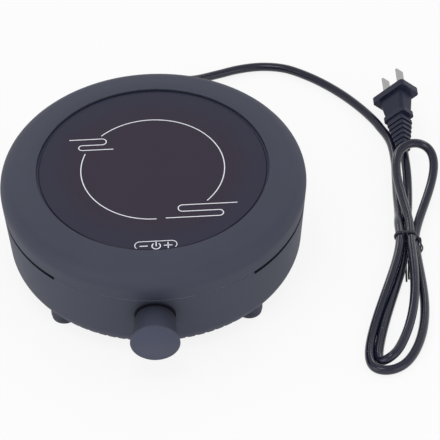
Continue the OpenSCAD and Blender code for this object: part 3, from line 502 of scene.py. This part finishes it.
painted_shade = bmesh.new()
layers = []
for lift in (SHADE_RING_UNDER, SHADE_RING_OVER):
    rows = []
    for r in np.linspace(SHADE_RING_IN, SHADE_RING_OUT, SHADE_RING_ROWS) * MM:
        row = []
        for k in range(SHADE_RING_STEPS):
            a = 2 * math.pi * k / SHADE_RING_STEPS
            start = Vector((r * math.cos(a), ray_y, knob_z + r * math.sin(a)))
            spot, normal = nodes["base_shell"].ray_cast(start, Vector((0, 1, 0)))[1:3]
            row.append(painted_shade.verts.new(spot + normal * lift * MM))
        rows.append(row)
    layers.append(rows)
for k in range(SHADE_RING_STEPS):
    n = (k + 1) % SHADE_RING_STEPS
    for rows in layers:
        for a, b in zip(rows, rows[1:]):
            painted_shade.faces.new((a[k], a[n], b[n], b[k]))
    for edge in (0, -1):
        under, over = layers[0][edge], layers[1][edge]
        painted_shade.faces.new((under[k], under[n], over[n], over[k]))
knob_shade_ring = mesh_piece("knob_shade_ring", painted_shade)
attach(knob_shade_ring, "housing")
print("felt ring:", len(knob_shade_ring.data.polygons), "faces round", round(knob_z / MM, 2), "mm")

# %% [markdown]
# Shared effects
# Most of this object is moulded plastic, so the same few effects come back in many finishes: cloudy
# tone with a fine grain, pale edges of wear and painted highlight, specks of lint, painted shade in
# corners and the lines of rolled metal. Each material could repeat these nodes, but a node group is
# built once and placed with its own values.

# %% Node group helpers
FLOAT, COLOUR, VECTOR = "NodeSocketFloat", "NodeSocketColor", "NodeSocketVector"


def srgb(text):
    part = [int(text[i:i + 2], 16) / 255 for i in (1, 3, 5)]
    return (*[c / 12.92 if c < 0.04045 else ((c + 0.055) / 1.055) ** 2.4 for c in part], 1.0)


def effect(name, inputs, outputs):
    tree = bpy.data.node_groups.new(name, "ShaderNodeTree")
    for label, kind, value in inputs:
        tree.interface.new_socket(label, in_out="INPUT", socket_type=kind).default_value = value
    for label, kind in outputs:
        tree.interface.new_socket(label, in_out="OUTPUT", socket_type=kind)
    return tree, tree.nodes.new("NodeGroupInput").outputs, tree.nodes.new("NodeGroupOutput").inputs


def put(tree, kind, links=None, **settings):
    """Adds a node, sets its properties and feeds its inputs with sockets or constants."""
    node = tree.nodes.new(kind)
    for key, value in settings.items():
        setattr(node, key, value)
    for key, value in (links or {}).items():
        if isinstance(value, bpy.types.NodeSocket):
            tree.links.new(value, node.inputs[key])
        else:
            node.inputs[key].default_value = value
    return node


print("node groups: helpers ready")

# %% [markdown]
# Small steps in a node tree
# Every effect is made of the same few steps: a sum, a range, a place, a noise. Each could be a node that
# is set up anew every time, but as short functions they let a tree read like a formula.

# %% Node steps
# Most values of a noise lie between the outer two, round its middle.
NOISE_LOW, NOISE_MIDDLE, NOISE_HIGH = 0.3, 0.5, 0.7


def calc(tree, operation, a, b=0.0, clamp=False):
    return put(tree, "ShaderNodeMath", {0: a, 1: b}, operation=operation, use_clamp=clamp).outputs[0]


def ramp(tree, value, low, high, to_low=0.0, to_high=1.0):
    return put(tree, "ShaderNodeMapRange", {0: value, 1: low, 2: high, 3: to_low, 4: to_high}).outputs[0]


def own_place(tree):
    return put(tree, "ShaderNodeTexCoord").outputs["Object"]


def noise(tree, place, scale, detail):
    return put(tree, "ShaderNodeTexNoise", {"Vector": place, "Scale": scale, "Detail": detail}).outputs[0]


def centred(tree, value):
    return calc(tree, "SUBTRACT", value, NOISE_MIDDLE)


def axes(tree, vector):
    return put(tree, "ShaderNodeSeparateXYZ", {0: vector}).outputs


def sum_of_squares(tree, a, b):
    return calc(tree, "ADD", calc(tree, "MULTIPLY", a, a), calc(tree, "MULTIPLY", b, b))


print("node steps: helpers ready")

# %% [markdown]
# Tone and grain
# Spark-eroded moulds leave a fine even grain, and thick plastic is never quite one tone. A picture of
# grain would show its seams on round walls. So two noises in the piece's own space do both: a wide one
# for the tone and the sheen, a fine one for the grain and its height.

# %% Effect: tone and grain
GRAIN_SHARE, TONE_GAIN = 0.6, 4.0
tone_tree, g_in, g_out = effect(
    "tone_and_grain",
    [("Tint", COLOUR, (0.5, 0.5, 0.5, 1)), ("Contrast", FLOAT, 0.06), ("Clouds", FLOAT, 40.0),
     ("Grain", FLOAT, 2500.0), ("Roughness", FLOAT, 0.5), ("Spread", FLOAT, 0.1)],
    [("Color", COLOUR), ("Roughness", FLOAT), ("Height", FLOAT)])
place = own_place(tone_tree)
clouds = noise(tone_tree, place, g_in["Clouds"], detail=3.0)
grain = noise(tone_tree, place, g_in["Grain"], detail=2.0)
fine = calc(tone_tree, "MULTIPLY", centred(tone_tree, grain), GRAIN_SHARE)
both = calc(tone_tree, "ADD", centred(tone_tree, clouds), fine)
gain = calc(tone_tree, "MULTIPLY", g_in["Contrast"], TONE_GAIN)
value = calc(tone_tree, "ADD", calc(tone_tree, "MULTIPLY", both, gain), 1.0)
toned = put(tone_tree, "ShaderNodeHueSaturation", {"Color": g_in["Tint"], "Value": value}).outputs[0]
uneven = calc(tone_tree, "MULTIPLY", both, g_in["Spread"])
sheen = calc(tone_tree, "ADD", g_in["Roughness"], uneven, clamp=True)
tone_tree.links.new(toned, g_out["Color"])
tone_tree.links.new(sheen, g_out["Roughness"])
tone_tree.links.new(grain, g_out["Height"])
print("effect:", tone_tree.name)

# %% [markdown]
# Pale edges
# Hands and cloths polish the corners of a moulded piece, so its edges are a little paler, and the pale
# tint also stands for the light that the edges catch: it is partly wear, partly a painted highlight.
# They could be painted on the mesh, but the CAD meshes stay as they are. So a mask finds them: it
# compares the true normal with the one that a small rounding would have, and the two differ only at edges.

# %% Effect: pale edges
NORMALS_ALIKE, NORMALS_APART = 0.995, 0.85
edge_tree, g_in, g_out = effect(
    "pale_edges", [("Width", FLOAT, 0.0006), ("Scale", FLOAT, 300.0)], [("Mask", FLOAT)])
rounded = put(edge_tree, "ShaderNodeBevel", {"Radius": g_in["Width"]}, samples=4).outputs[0]
flat = put(edge_tree, "ShaderNodeNewGeometry").outputs["Normal"]
normals = {0: rounded, 1: flat}
alike = put(edge_tree, "ShaderNodeVectorMath", normals, operation="DOT_PRODUCT").outputs["Value"]
at_edge = ramp(edge_tree, alike, NORMALS_ALIKE, NORMALS_APART)
specks = noise(edge_tree, own_place(edge_tree), g_in["Scale"], detail=2.0)
patchy = ramp(edge_tree, specks, NOISE_LOW, NOISE_HIGH)
edge_tree.links.new(calc(edge_tree, "MULTIPLY", at_edge, patchy), g_out["Mask"])
print("effect:", edge_tree.name)

# %% [markdown]
# Lint
# Soft-touch plastic and rubber hold tiny pale fibres. They could be scattered as small meshes, but there
# are hundreds and each is only a speck. So a cell noise gives each cell one dot, and only a few cells,
# picked by their random colour, show theirs.

# %% Effect: lint
lint_tree, g_in, g_out = effect(
    "lint", [("Cells", FLOAT, 120.0), ("Share", FLOAT, 0.04), ("Size", FLOAT, 0.06)], [("Mask", FLOAT)])
cells = put(lint_tree, "ShaderNodeTexVoronoi", {"Vector": own_place(lint_tree), "Scale": g_in["Cells"]})
chance = put(lint_tree, "ShaderNodeSeparateColor", {0: cells.outputs["Color"]}).outputs[0]
picked = calc(lint_tree, "LESS_THAN", chance, g_in["Share"])
dot = calc(lint_tree, "LESS_THAN", cells.outputs["Distance"], g_in["Size"])
lint_tree.links.new(calc(lint_tree, "MULTIPLY", dot, picked), g_out["Mask"])
print("effect:", lint_tree.name)

# %% [markdown]
# Painted shade in corners
# Little light reaches a narrow gap. The lamps shade it, and more shade is painted into the colour on
# top: a mask asks how much open air a point sees within a short reach, and the colour darkens where
# it sees little.

# %% Effect: painted shade in corners
OPEN_AIR, CLOSED_AIR = 0.8, 0.35
corner_shade_tree, g_in, g_out = effect("painted_corner_shade", [("Reach", FLOAT, 0.006)], [("Mask", FLOAT)])
air = put(corner_shade_tree, "ShaderNodeAmbientOcclusion", {"Distance": g_in["Reach"]}, samples=8).outputs["AO"]
corner_shade_tree.links.new(ramp(corner_shade_tree, air, OPEN_AIR, CLOSED_AIR), g_out["Mask"])
print("effect:", corner_shade_tree.name)

# %% [markdown]
# Rolled metal
# Sheet, wire and turned pins carry fine lines along the way they were rolled or drawn. A shader can
# stretch its highlight instead, but the exported model loses that. So the lines are a noise that is
# stretched along one axis.

# %% Effect: rolled metal
LINES_LOW, LINES_HIGH = 0.25, 0.75
LINE_DARK, LINE_PALE = 0.86, 1.1
roll_tree, g_in, g_out = effect(
    "rolled_metal",
    [("Tint", COLOUR, (0.6, 0.6, 0.6, 1)), ("Stretch", VECTOR, (200.0, 4000.0, 4000.0)),
     ("Roughness", FLOAT, 0.35), ("Spread", FLOAT, 0.2)],
    [("Color", COLOUR), ("Roughness", FLOAT), ("Height", FLOAT)])
factors = {0: own_place(roll_tree), 1: g_in["Stretch"]}
pulled = put(roll_tree, "ShaderNodeVectorMath", factors, operation="MULTIPLY").outputs[0]
lines = noise(roll_tree, pulled, 1.0, detail=3.0)
value = ramp(roll_tree, lines, LINES_LOW, LINES_HIGH, LINE_DARK, LINE_PALE)
toned = put(roll_tree, "ShaderNodeHueSaturation", {"Color": g_in["Tint"], "Value": value}).outputs[0]
uneven = calc(roll_tree, "MULTIPLY", centred(roll_tree, lines), g_in["Spread"])
sheen = calc(roll_tree, "ADD", g_in["Roughness"], uneven, clamp=True)
roll_tree.links.new(toned, g_out["Color"])
roll_tree.links.new(sheen, g_out["Roughness"])
roll_tree.links.new(lines, g_out["Height"])
print("effect:", roll_tree.name)

# %% [markdown]
# Tools for a finish
# A finish is one shader with effects laid over its colour and a bump for its grain. The nodes could be
# wired by hand in each material, but the same joints come back in all of them, so they are functions. The
# last one gives a finish to pieces of the CAD model, which keep their meshes.

# %% Finish helpers
def start_material(name):
    material = bpy.data.materials.new(name)
    material.use_nodes = True
    return material, material.node_tree, material.node_tree.nodes["Principled BSDF"]


def place_effect(tree, group, **values):
    """Places a shared effect in a material, with its own values."""
    node = put(tree, "ShaderNodeGroup", node_tree=group)
    for key, value in values.items():
        node.inputs[key].default_value = value
    return node.outputs


def blend_colour(tree, mask, colour, over):
    """Lays a tint over a colour where the mask is."""
    return put(tree, "ShaderNodeMix", {0: mask, 6: colour, 7: srgb(over)}, data_type="RGBA").outputs[2]


def bump(tree, shader, height, depth_mm, strength):
    node = put(tree, "ShaderNodeBump", {"Height": height, "Distance": depth_mm * MM, "Strength": strength})
    tree.links.new(node.outputs[0], shader.inputs["Normal"])


def dress(material, *names):
    for n in names:
        data = nodes[n].data
        data.materials.clear()
        data.materials.append(material)


print("finishes: helpers ready")

# %% [markdown]
# One recipe for moulded pieces
# Housing, knob, rubber, cord jacket and the inner plastics differ only in tint, sheen and grain. Each
# could have its own node tree, but then a change would have to be made many times. So one function makes
# them all from those values.

# %% Moulded recipe
SHEEN_SPREAD = 0.18
LINT_TINT, LINT_SHARE = "#9a9ba4", 0.6
# Near-black tint of the painted shade in corners.
CORNER_SHADE_TINT = "#0b0c11"


def moulded(name, tint, roughness, contrast=0.05, clouds=35.0, grain=2600.0, depth=0.03, strength=0.35,
            edge=None, edge_share=0.35, lint=0.0, specular=0.35, corner_shade=0.0, reach=0.006):
    material, tree, shader = start_material(name)
    base = place_effect(tree, tone_tree, Tint=srgb(tint), Contrast=contrast, Clouds=clouds, Grain=grain,
                        Roughness=roughness, Spread=SHEEN_SPREAD)
    colour = base["Color"]
    # Pale edges: partly wear, partly a painted highlight.
    if edge:
        wear_and_highlight = place_effect(tree, edge_tree)["Mask"]
        colour = blend_colour(tree, calc(tree, "MULTIPLY", wear_and_highlight, edge_share), colour, edge)
    if lint:
        specks = place_effect(tree, lint_tree, Share=lint)["Mask"]
        colour = blend_colour(tree, calc(tree, "MULTIPLY", specks, LINT_SHARE), colour, LINT_TINT)
    # Painted shade: the colour darkens where little open air is near, in gaps and corners.
    if corner_shade:
        corner_mask = place_effect(tree, corner_shade_tree, Reach=reach)["Mask"]
        colour = blend_colour(tree, calc(tree, "MULTIPLY", corner_mask, corner_shade), colour, CORNER_SHADE_TINT)
    tree.links.new(colour, shader.inputs["Base Color"])
    tree.links.new(base["Roughness"], shader.inputs["Roughness"])
    shader.inputs["Specular IOR Level"].default_value = specular
    bump(tree, shader, base["Height"], depth, strength)
    return material


print("moulded recipe: ready")

# %% [markdown]
# Cover and base
# Both shells are one charcoal plastic with a soft-touch coat: matte, faintly blue, with a fine grain. The
# cover's bezel also rolls down softly to the glass. That could be cut in the solid, but the roll is so
# shallow that only its shading shows. So it is a height by distance from the axis, which tilts the normal.

# %% Cover and base
GLASS_TO_BEZEL = 2.1
ROLL_W, ROLL_DEPTH = 9.0, 1.0


def tilt_by(material, height):
    """Tilts the finish's normal by a height in metres, under its own grain."""
    tree = material.node_tree
    tilted = put(tree, "ShaderNodeBump", {"Height": height, "Distance": 1.0}).outputs[0]
    tree.links.new(tilted, tree.nodes["Bump"].inputs["Normal"])


def rolled_in(tree, inner_r, width, depth):
    """Height of a ring whose inner edge rolls down towards the axis z."""
    x, y, _ = axes(tree, own_place(tree))
    share = ramp(tree, calc(tree, "SQRT", sum_of_squares(tree, x, y)), inner_r + width, inner_r)
    return calc(tree, "MULTIPLY", calc(tree, "MULTIPLY", share, share), -depth)


# The shells get painted shade in their gaps, slits and grooves.
soft_touch = moulded("soft_touch_shell", "#3f4252", 0.6, edge="#686a7a", edge_share=0.5, lint=0.012,
                     specular=0.3, corner_shade=0.9, reach=0.014)
dress(soft_touch, "base_shell")
cover_plastic = soft_touch.copy()
cover_plastic.name = "soft_touch_cover"
bezel_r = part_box("glass_plate")[1].x + GLASS_TO_BEZEL * MM
tilt_by(cover_plastic, rolled_in(cover_plastic.node_tree, bezel_r, ROLL_W * MM, ROLL_DEPTH * MM))
dress(cover_plastic, "top_cover")
print("shells:", soft_touch.name, "and", cover_plastic.name)

# %% [markdown]
# The knob
# The knob is of the same plastic. Its face swells a little, and its round side is painted darker, most
# at the two flanks: that is painted shade. The lamps could shade it so, but only while it stands still.
# Swell and painted shade are taken from the knob's own place and normal, so that they turn with it.

# %% Knob
KNOB_RISE = 14.0
FACE_ON, FACE_OFF = 0.9, 0.5
FLANK_FROM, FLANK_TO = 0.3, 0.9
# Shares of the painted shade on the knob's round side and at its two flanks.
SIDE_SHADE, FLANK_SHADE = 0.3, 0.62
SIDE_SHADE_TINT = "#14151c"

# The knob's painted shade reaches far, so it darkens its whole neck next to the wall.
knob_plastic = moulded("soft_touch_knob", "#41455a", 0.55, corner_shade=1.0, reach=0.022, clouds=90.0,
                       edge="#70727f", edge_share=0.6, lint=0.01, specular=0.45)
tree = knob_plastic.node_tree
across, _, up = axes(tree, own_place(tree))
square = sum_of_squares(tree, across, calc(tree, "SUBTRACT", up, knob_z))
tilt_by(knob_plastic, calc(tree, "MULTIPLY", square, -KNOB_RISE))
# Painted shade: the round side darkens towards a near-black tint, most at the left and right flanks.
facing = axes(tree, put(tree, "ShaderNodeTexCoord").outputs["Normal"])
round_side = ramp(tree, calc(tree, "ABSOLUTE", facing[1]), FACE_ON, FACE_OFF)
flanks_shaded = ramp(tree, calc(tree, "ABSOLUTE", facing[0]), FLANK_FROM, FLANK_TO, SIDE_SHADE, FLANK_SHADE)
shaded = calc(tree, "MULTIPLY", round_side, flanks_shaded)
colour_in = tree.nodes["Principled BSDF"].inputs["Base Color"]
tree.links.new(blend_colour(tree, shaded, colour_in.links[0].from_socket, SIDE_SHADE_TINT), colour_in)
dress(knob_plastic, "knob")
print("knob:", knob_plastic.name)

# %% [markdown]
# Rubber, trim, cord and plug
# The feet, the seal and the boot are rubber, and the black ring of painted shade behind the knob takes
# no gloss. The cord's jacket is shiny soft plastic. A single smooth layer would make it wet all over, so
# a clear coat lies on a duller jacket: it gives the long pale streaks that a cord shows.

# %% Rubber, trim, cord and plug
COAT, COAT_ROUGH = 0.6, 0.16
dress(moulded("foot_rubber", "#464855", 0.75, grain=1800.0, depth=0.05, edge="#4a4b50"), "rubber_feet")
dress(moulded("seal_rubber", "#363950", 0.6, depth=0.02), "glass_seal")
dress(moulded("boot_rubber", "#25262d", 0.55, edge="#3c3d45", lint=0.02), "cord_boot")
# A dull black for the ring that paints the shade in the gap behind the knob.
shade_ring_black = moulded("shade_ring_black", "#1a1c24", 0.95, grain=1500.0, depth=0.05, specular=0.1)
knob_shade_ring.data.materials.append(shade_ring_black)
# Pale tint of the bead: a painted highlight on the seam's edges.
seam_highlight = moulded("seam_highlight", "#989bad", 0.5, contrast=0.3, clouds=110.0, specular=0.45)
seam_bead.data.materials.append(seam_highlight)
jacket = moulded("cord_jacket", "#181b2f", 0.26, contrast=0.07, clouds=120.0, grain=1500.0, depth=0.02,
                 lint=0.03, specular=0.2)
jacket_shader = jacket.node_tree.nodes["Principled BSDF"]
jacket_shader.inputs["Coat Weight"].default_value = COAT
jacket_shader.inputs["Coat Roughness"].default_value = COAT_ROUGH
cord.data.materials.append(jacket)
dress(jacket, "inner_lead", "mains_cord", "cord_hank")
plug_plastic = moulded("plug_moulding", "#22263b", 0.4, clouds=150.0, grain=1800.0, edge="#5f6273",
                       edge_share=0.5, specular=0.25)
dress(plug_plastic, "plug_body", "plug_relief")
coated_wire = moulded("tie_coating", "#2a2b34", 0.34, contrast=0.08, grain=1200.0, specular=0.5)
wire_tie.data.materials.append(coated_wire)
dress(coated_wire, "cord_tie")
print("moulded finishes:", len(bpy.data.materials), "materials so far")

# %% [markdown]
# Glass and enamel
# The cooking plate is dark glass ceramic: nearly black, a breath of red over the heater, where the
# colour shows through, and greyer outside it. It could be clear glass over a painted heater, but so
# little light comes through that a tint by distance from the axis gives the same look. The top is
# smooth but not a mirror, with faint wipe marks in the sheen.

# %% Glass and enamel
HEATED_TINT, COLD_TINT = "#342d3c", "#323143"
HEATED_R, COLD_R, RIM_WAVER = 0.050, 0.066, 0.012
WIPE_SCALE, WIPE_SMOOTH, WIPE_ROUGH = 28.0, 0.16, 0.26
GLASS_SPECULAR = 0.22

ceramic, tree, shader = start_material("glass_ceramic")
place = own_place(tree)
x, y, _ = axes(tree, place)
ring_r = calc(tree, "SQRT", sum_of_squares(tree, x, y))
wipes = noise(tree, place, WIPE_SCALE, detail=3.0)
wavy_r = calc(tree, "ADD", ring_r, calc(tree, "MULTIPLY", centred(tree, wipes), RIM_WAVER))
outside = ramp(tree, wavy_r, HEATED_R, COLD_R)
sheen = ramp(tree, wipes, NOISE_LOW, NOISE_HIGH, WIPE_SMOOTH, WIPE_ROUGH)
tree.links.new(blend_colour(tree, outside, srgb(HEATED_TINT), COLD_TINT), shader.inputs["Base Color"])
tree.links.new(sheen, shader.inputs["Roughness"])
shader.inputs["Specular IOR Level"].default_value = GLASS_SPECULAR
dress(ceramic, "glass_plate")

enamel = moulded("white_enamel", "#f5f6ff", 0.5, contrast=0.04, clouds=400.0, grain=4000.0, depth=0.01)
for piece in (zone_print, sign_print):
    piece.data.materials.append(enamel)
print("glass:", ceramic.name, "and", enamel.name)

# %% [markdown]
# Metals
# The plug's blades are nickel on brass, screws and brackets are zinc-plated steel, and the heater's
# ribbon is dull from heat. One bright metal could serve them all, but each is rolled, drawn or turned
# another way. So all take the rolled-metal effect, with their own tint, direction and sheen.

# %% Metals
# Share of the pale edge tint on metals, partly wear and partly a painted highlight.
METAL_WEAR_AND_HIGHLIGHT = 0.5
METAL_DEPTH, METAL_STRENGTH = 0.01, 0.3


def metal(name, tint, roughness, stretch=(250.0, 4000.0, 4000.0), spread=0.25, edge=None):
    material, tree, shader = start_material(name)
    lines = place_effect(tree, roll_tree, Tint=srgb(tint), Stretch=stretch, Roughness=roughness,
                         Spread=spread)
    colour = lines["Color"]
    # Pale edges: partly wear, partly a painted highlight.
    if edge:
        wear_and_highlight = place_effect(tree, edge_tree)["Mask"]
        colour = blend_colour(tree, calc(tree, "MULTIPLY", wear_and_highlight, METAL_WEAR_AND_HIGHLIGHT), colour, edge)
    tree.links.new(colour, shader.inputs["Base Color"])
    tree.links.new(lines["Roughness"], shader.inputs["Roughness"])
    shader.inputs["Metallic"].default_value = 1.0
    bump(tree, shader, lines["Height"], METAL_DEPTH, METAL_STRENGTH)
    return material


dress(metal("blade_nickel", "#a9a9a9", 0.34, (3500.0, 300.0, 3500.0), edge="#e2e1da"), "plug_blades")
zinc_steel = metal("zinc_steel", "#a9adb3", 0.36, edge="#d0d3d8")
dress(zinc_steel, "housing_screws", "bracket_screws", "fan_screws", "power_screws", "control_screws",
      "clamp_screws", "heater_bracket", "pan_springs", "switch_dome", "knob_clip", "encoder_case")
dress(metal("drawn_steel", "#b9bcc0", 0.28, (4000.0, 4000.0, 250.0)), "fan_shaft", "limiter_rod")
dress(metal("shaft_steel", "#b9bcc0", 0.28, (4000.0, 250.0, 4000.0)), "encoder_shaft")
dress(metal("pan_steel", "#bfc2c4", 0.4, (600.0, 600.0, 3000.0)), "heater_pan")
dress(metal("ribbon_alloy", "#7a675c", 0.55, (900.0, 900.0, 5000.0)), "heating_coil")
dress(metal("tab_tin", "#cdd0d2", 0.3), "terminal_tabs")
dress(metal("fin_aluminium", "#b4b8bb", 0.38, (4000.0, 4000.0, 300.0)), "heatsink")
dress(metal("bearing_bronze", "#b08d3c", 0.42, (2500.0, 2500.0, 400.0)), "fan_bearing")
dress(metal("stator_copper", "#9a5f35", 0.4, (500.0, 500.0, 5000.0)), "fan_stator")
print("metals:", len(bpy.data.materials), "materials so far")

# %% [markdown]
# Inside the housing
# Boards, fan and insulation are seen only through the vents and when the part is taken apart. One grey
# plastic would do for the photo's view, but then a part in pieces would look unfinished. So each has the
# finish of its kind, from the same recipe.

# %% Inner finishes
dress(moulded("fan_plastic", "#24262b", 0.5, edge="#3d3f45"), "fan_frame", "fan_rotor", "cord_clamp")
dress(moulded("ferrite", "#3a3a3d", 0.7, grain=1200.0, depth=0.05), "fan_magnet")
mineral_board = moulded("mineral_board", "#d9d3c4", 0.9, contrast=0.08, grain=900.0, depth=0.15,
                        strength=0.6)
dress(mineral_board, "insulation_dish")
dress(moulded("steatite", "#d6d1c3", 0.55, edge="#eeeae0"), "limiter_head", "terminal_strip")
solder_mask = moulded("solder_mask", "#2f5d3a", 0.35, contrast=0.1, clouds=300.0, specular=0.5)
dress(solder_mask, "power_board", "control_board")
dress(moulded("relay_blue", "#2c5f9e", 0.4, edge="#5b86bd"), "relay")
dress(moulded("winding_tape", "#c9a227", 0.45, grain=1000.0), "transformer")
dress(moulded("dipped_red", "#a8462f", 0.4), "film_capacitor")
dress(moulded("sleeve_black", "#23262c", 0.35, specular=0.5), "can_capacitor")
dress(moulded("chip_black", "#26282b", 0.6), "triac")
dress(moulded("terminal_green", "#3c6e47", 0.45, edge="#6b9674"), "terminal_block")
dress(moulded("rotor_nylon", "#d8d5cb", 0.5), "encoder_rotor")
print("inner finishes:", len(bpy.data.materials), "materials in all")

# %% [markdown]
# The studio's white
# The photo is a cut-out on white. The world could simply be white, but then it would light the object as
# strongly as it looks. So it is full white to the camera, white that falls off towards the ceiling in
# reflections, and a weaker even light for everything else.

# %% World
WORLD_LIGHT = 0.66
CEILING, FADE_FROM, FADE_TO = 0.6, 0.25, 0.75


def ray_masks(tree):
    """Masks of the rays from the camera, and of those that a reflection or glass sends on."""
    path = put(tree, "ShaderNodeLightPath").outputs
    return path["Is Camera Ray"], calc(tree, "MAXIMUM", path["Is Glossy Ray"], path["Is Transmission Ray"])


scene = bpy.context.scene
scene.view_settings.view_transform = "Standard"
world = bpy.data.worlds.new("studio")
scene.world = world
world.use_nodes = True
tree = world.node_tree
height = axes(tree, put(tree, "ShaderNodeTexCoord").outputs["Generated"])[2]
eye, mirrored = ray_masks(tree)
backdrop = calc(tree, "MULTIPLY", mirrored, ramp(tree, height, FADE_FROM, FADE_TO, 1.0, CEILING))
shown = calc(tree, "MAXIMUM", eye, backdrop)
unseen = calc(tree, "SUBTRACT", 1.0, calc(tree, "MAXIMUM", eye, mirrored))
strength = calc(tree, "ADD", shown, calc(tree, "MULTIPLY", unseen, WORLD_LIGHT))
back = tree.nodes["Background"]
back.inputs["Color"].default_value = (1, 1, 1, 1)
tree.links.new(strength, back.inputs["Strength"])
print("world: light", WORLD_LIGHT, "and ceiling", CEILING)

# %% [markdown]
# Lamps
# The object in the photo is lit softly from all round, with a little more from the left and from above.
# One large lamp could do that, but the cord would lose its streaks. So a small lamp hangs overhead, a key
# and a fill stand at the two front sides, and two narrow strips behind the object draw the streaks.

# %% Lamps
LAMP_TARGET = (0.03, 0, 0.03)
# Name, place and size in metres, power in watts.
LAMPS = [
    ("overhead", (-0.1, -0.3, 1.3), (0.36, 0.36), 2.0),
    ("left_key", (-0.8, -0.8, 0.6), (0.8, 0.8), 2.4),
    ("right_fill", (1.0, -0.8, 0.5), (0.8, 0.8), 1.4),
    ("right_strip", (0.625, 1.0, 0.817), (0.16, 0.5), 1.1),
    ("left_strip", (-0.467, 0.996, 0.705), (0.16, 0.5), 1.1),
]

for name, spot, size, power in LAMPS:
    light = bpy.data.lights.new(name, "AREA")
    light.shape = "RECTANGLE"
    light.size, light.size_y = size
    light.energy = power
    lamp = bpy.data.objects.new(name, light)
    scene.collection.objects.link(lamp)
    lamp.location = spot
    lamp.rotation_euler = (Vector(LAMP_TARGET) - Vector(spot)).to_track_quat("-Z", "Y").to_euler()
print("lamps:", len(bpy.data.lights))

# %% [markdown]
# The floor
# The floor is pale paper. It could be lit until it is white, but then its light would wash out the
# object. So to the camera and in reflections it is mostly plain white, like the backdrop, and a share of
# its lit surface is mixed in, so that it keeps the object's soft shadow.

# %% Floor
FLOOR_SIZE, FLOOR_Z = 6, -0.0002
PAPER_LOW, PAPER_HIGH, PAPER_SCALE, PAPER_ROUGH = 0.92, 0.95, 6.0, 0.9
SHADOW_SHARE = 0.14

bpy.ops.mesh.primitive_plane_add(size=FLOOR_SIZE, location=(0, 0, FLOOR_Z))
floor = bpy.context.object
floor.name = "floor"
paper, tree, shader = start_material("floor_paper")
fibres = put(tree, "ShaderNodeTexNoise", {"Scale": PAPER_SCALE, "Detail": 2.0}).outputs[0]
shade = ramp(tree, fibres, NOISE_LOW, NOISE_HIGH, PAPER_LOW, PAPER_HIGH)
grey = put(tree, "ShaderNodeCombineColor", {0: shade, 1: shade, 2: shade}).outputs[0]
tree.links.new(grey, shader.inputs["Base Color"])
shader.inputs["Roughness"].default_value = PAPER_ROUGH
white = put(tree, "ShaderNodeEmission", {"Strength": 1.0}).outputs[0]
plain = calc(tree, "MULTIPLY", calc(tree, "MAXIMUM", *ray_masks(tree)), 1 - SHADOW_SHARE)
mix = put(tree, "ShaderNodeMixShader", {0: plain, 1: shader.outputs[0], 2: white}).outputs[0]
tree.links.new(mix, tree.nodes["Material Output"].inputs["Surface"])
floor.data.materials.append(paper)
print("floor:", paper.name, "with a shadow share of", SHADOW_SHARE)
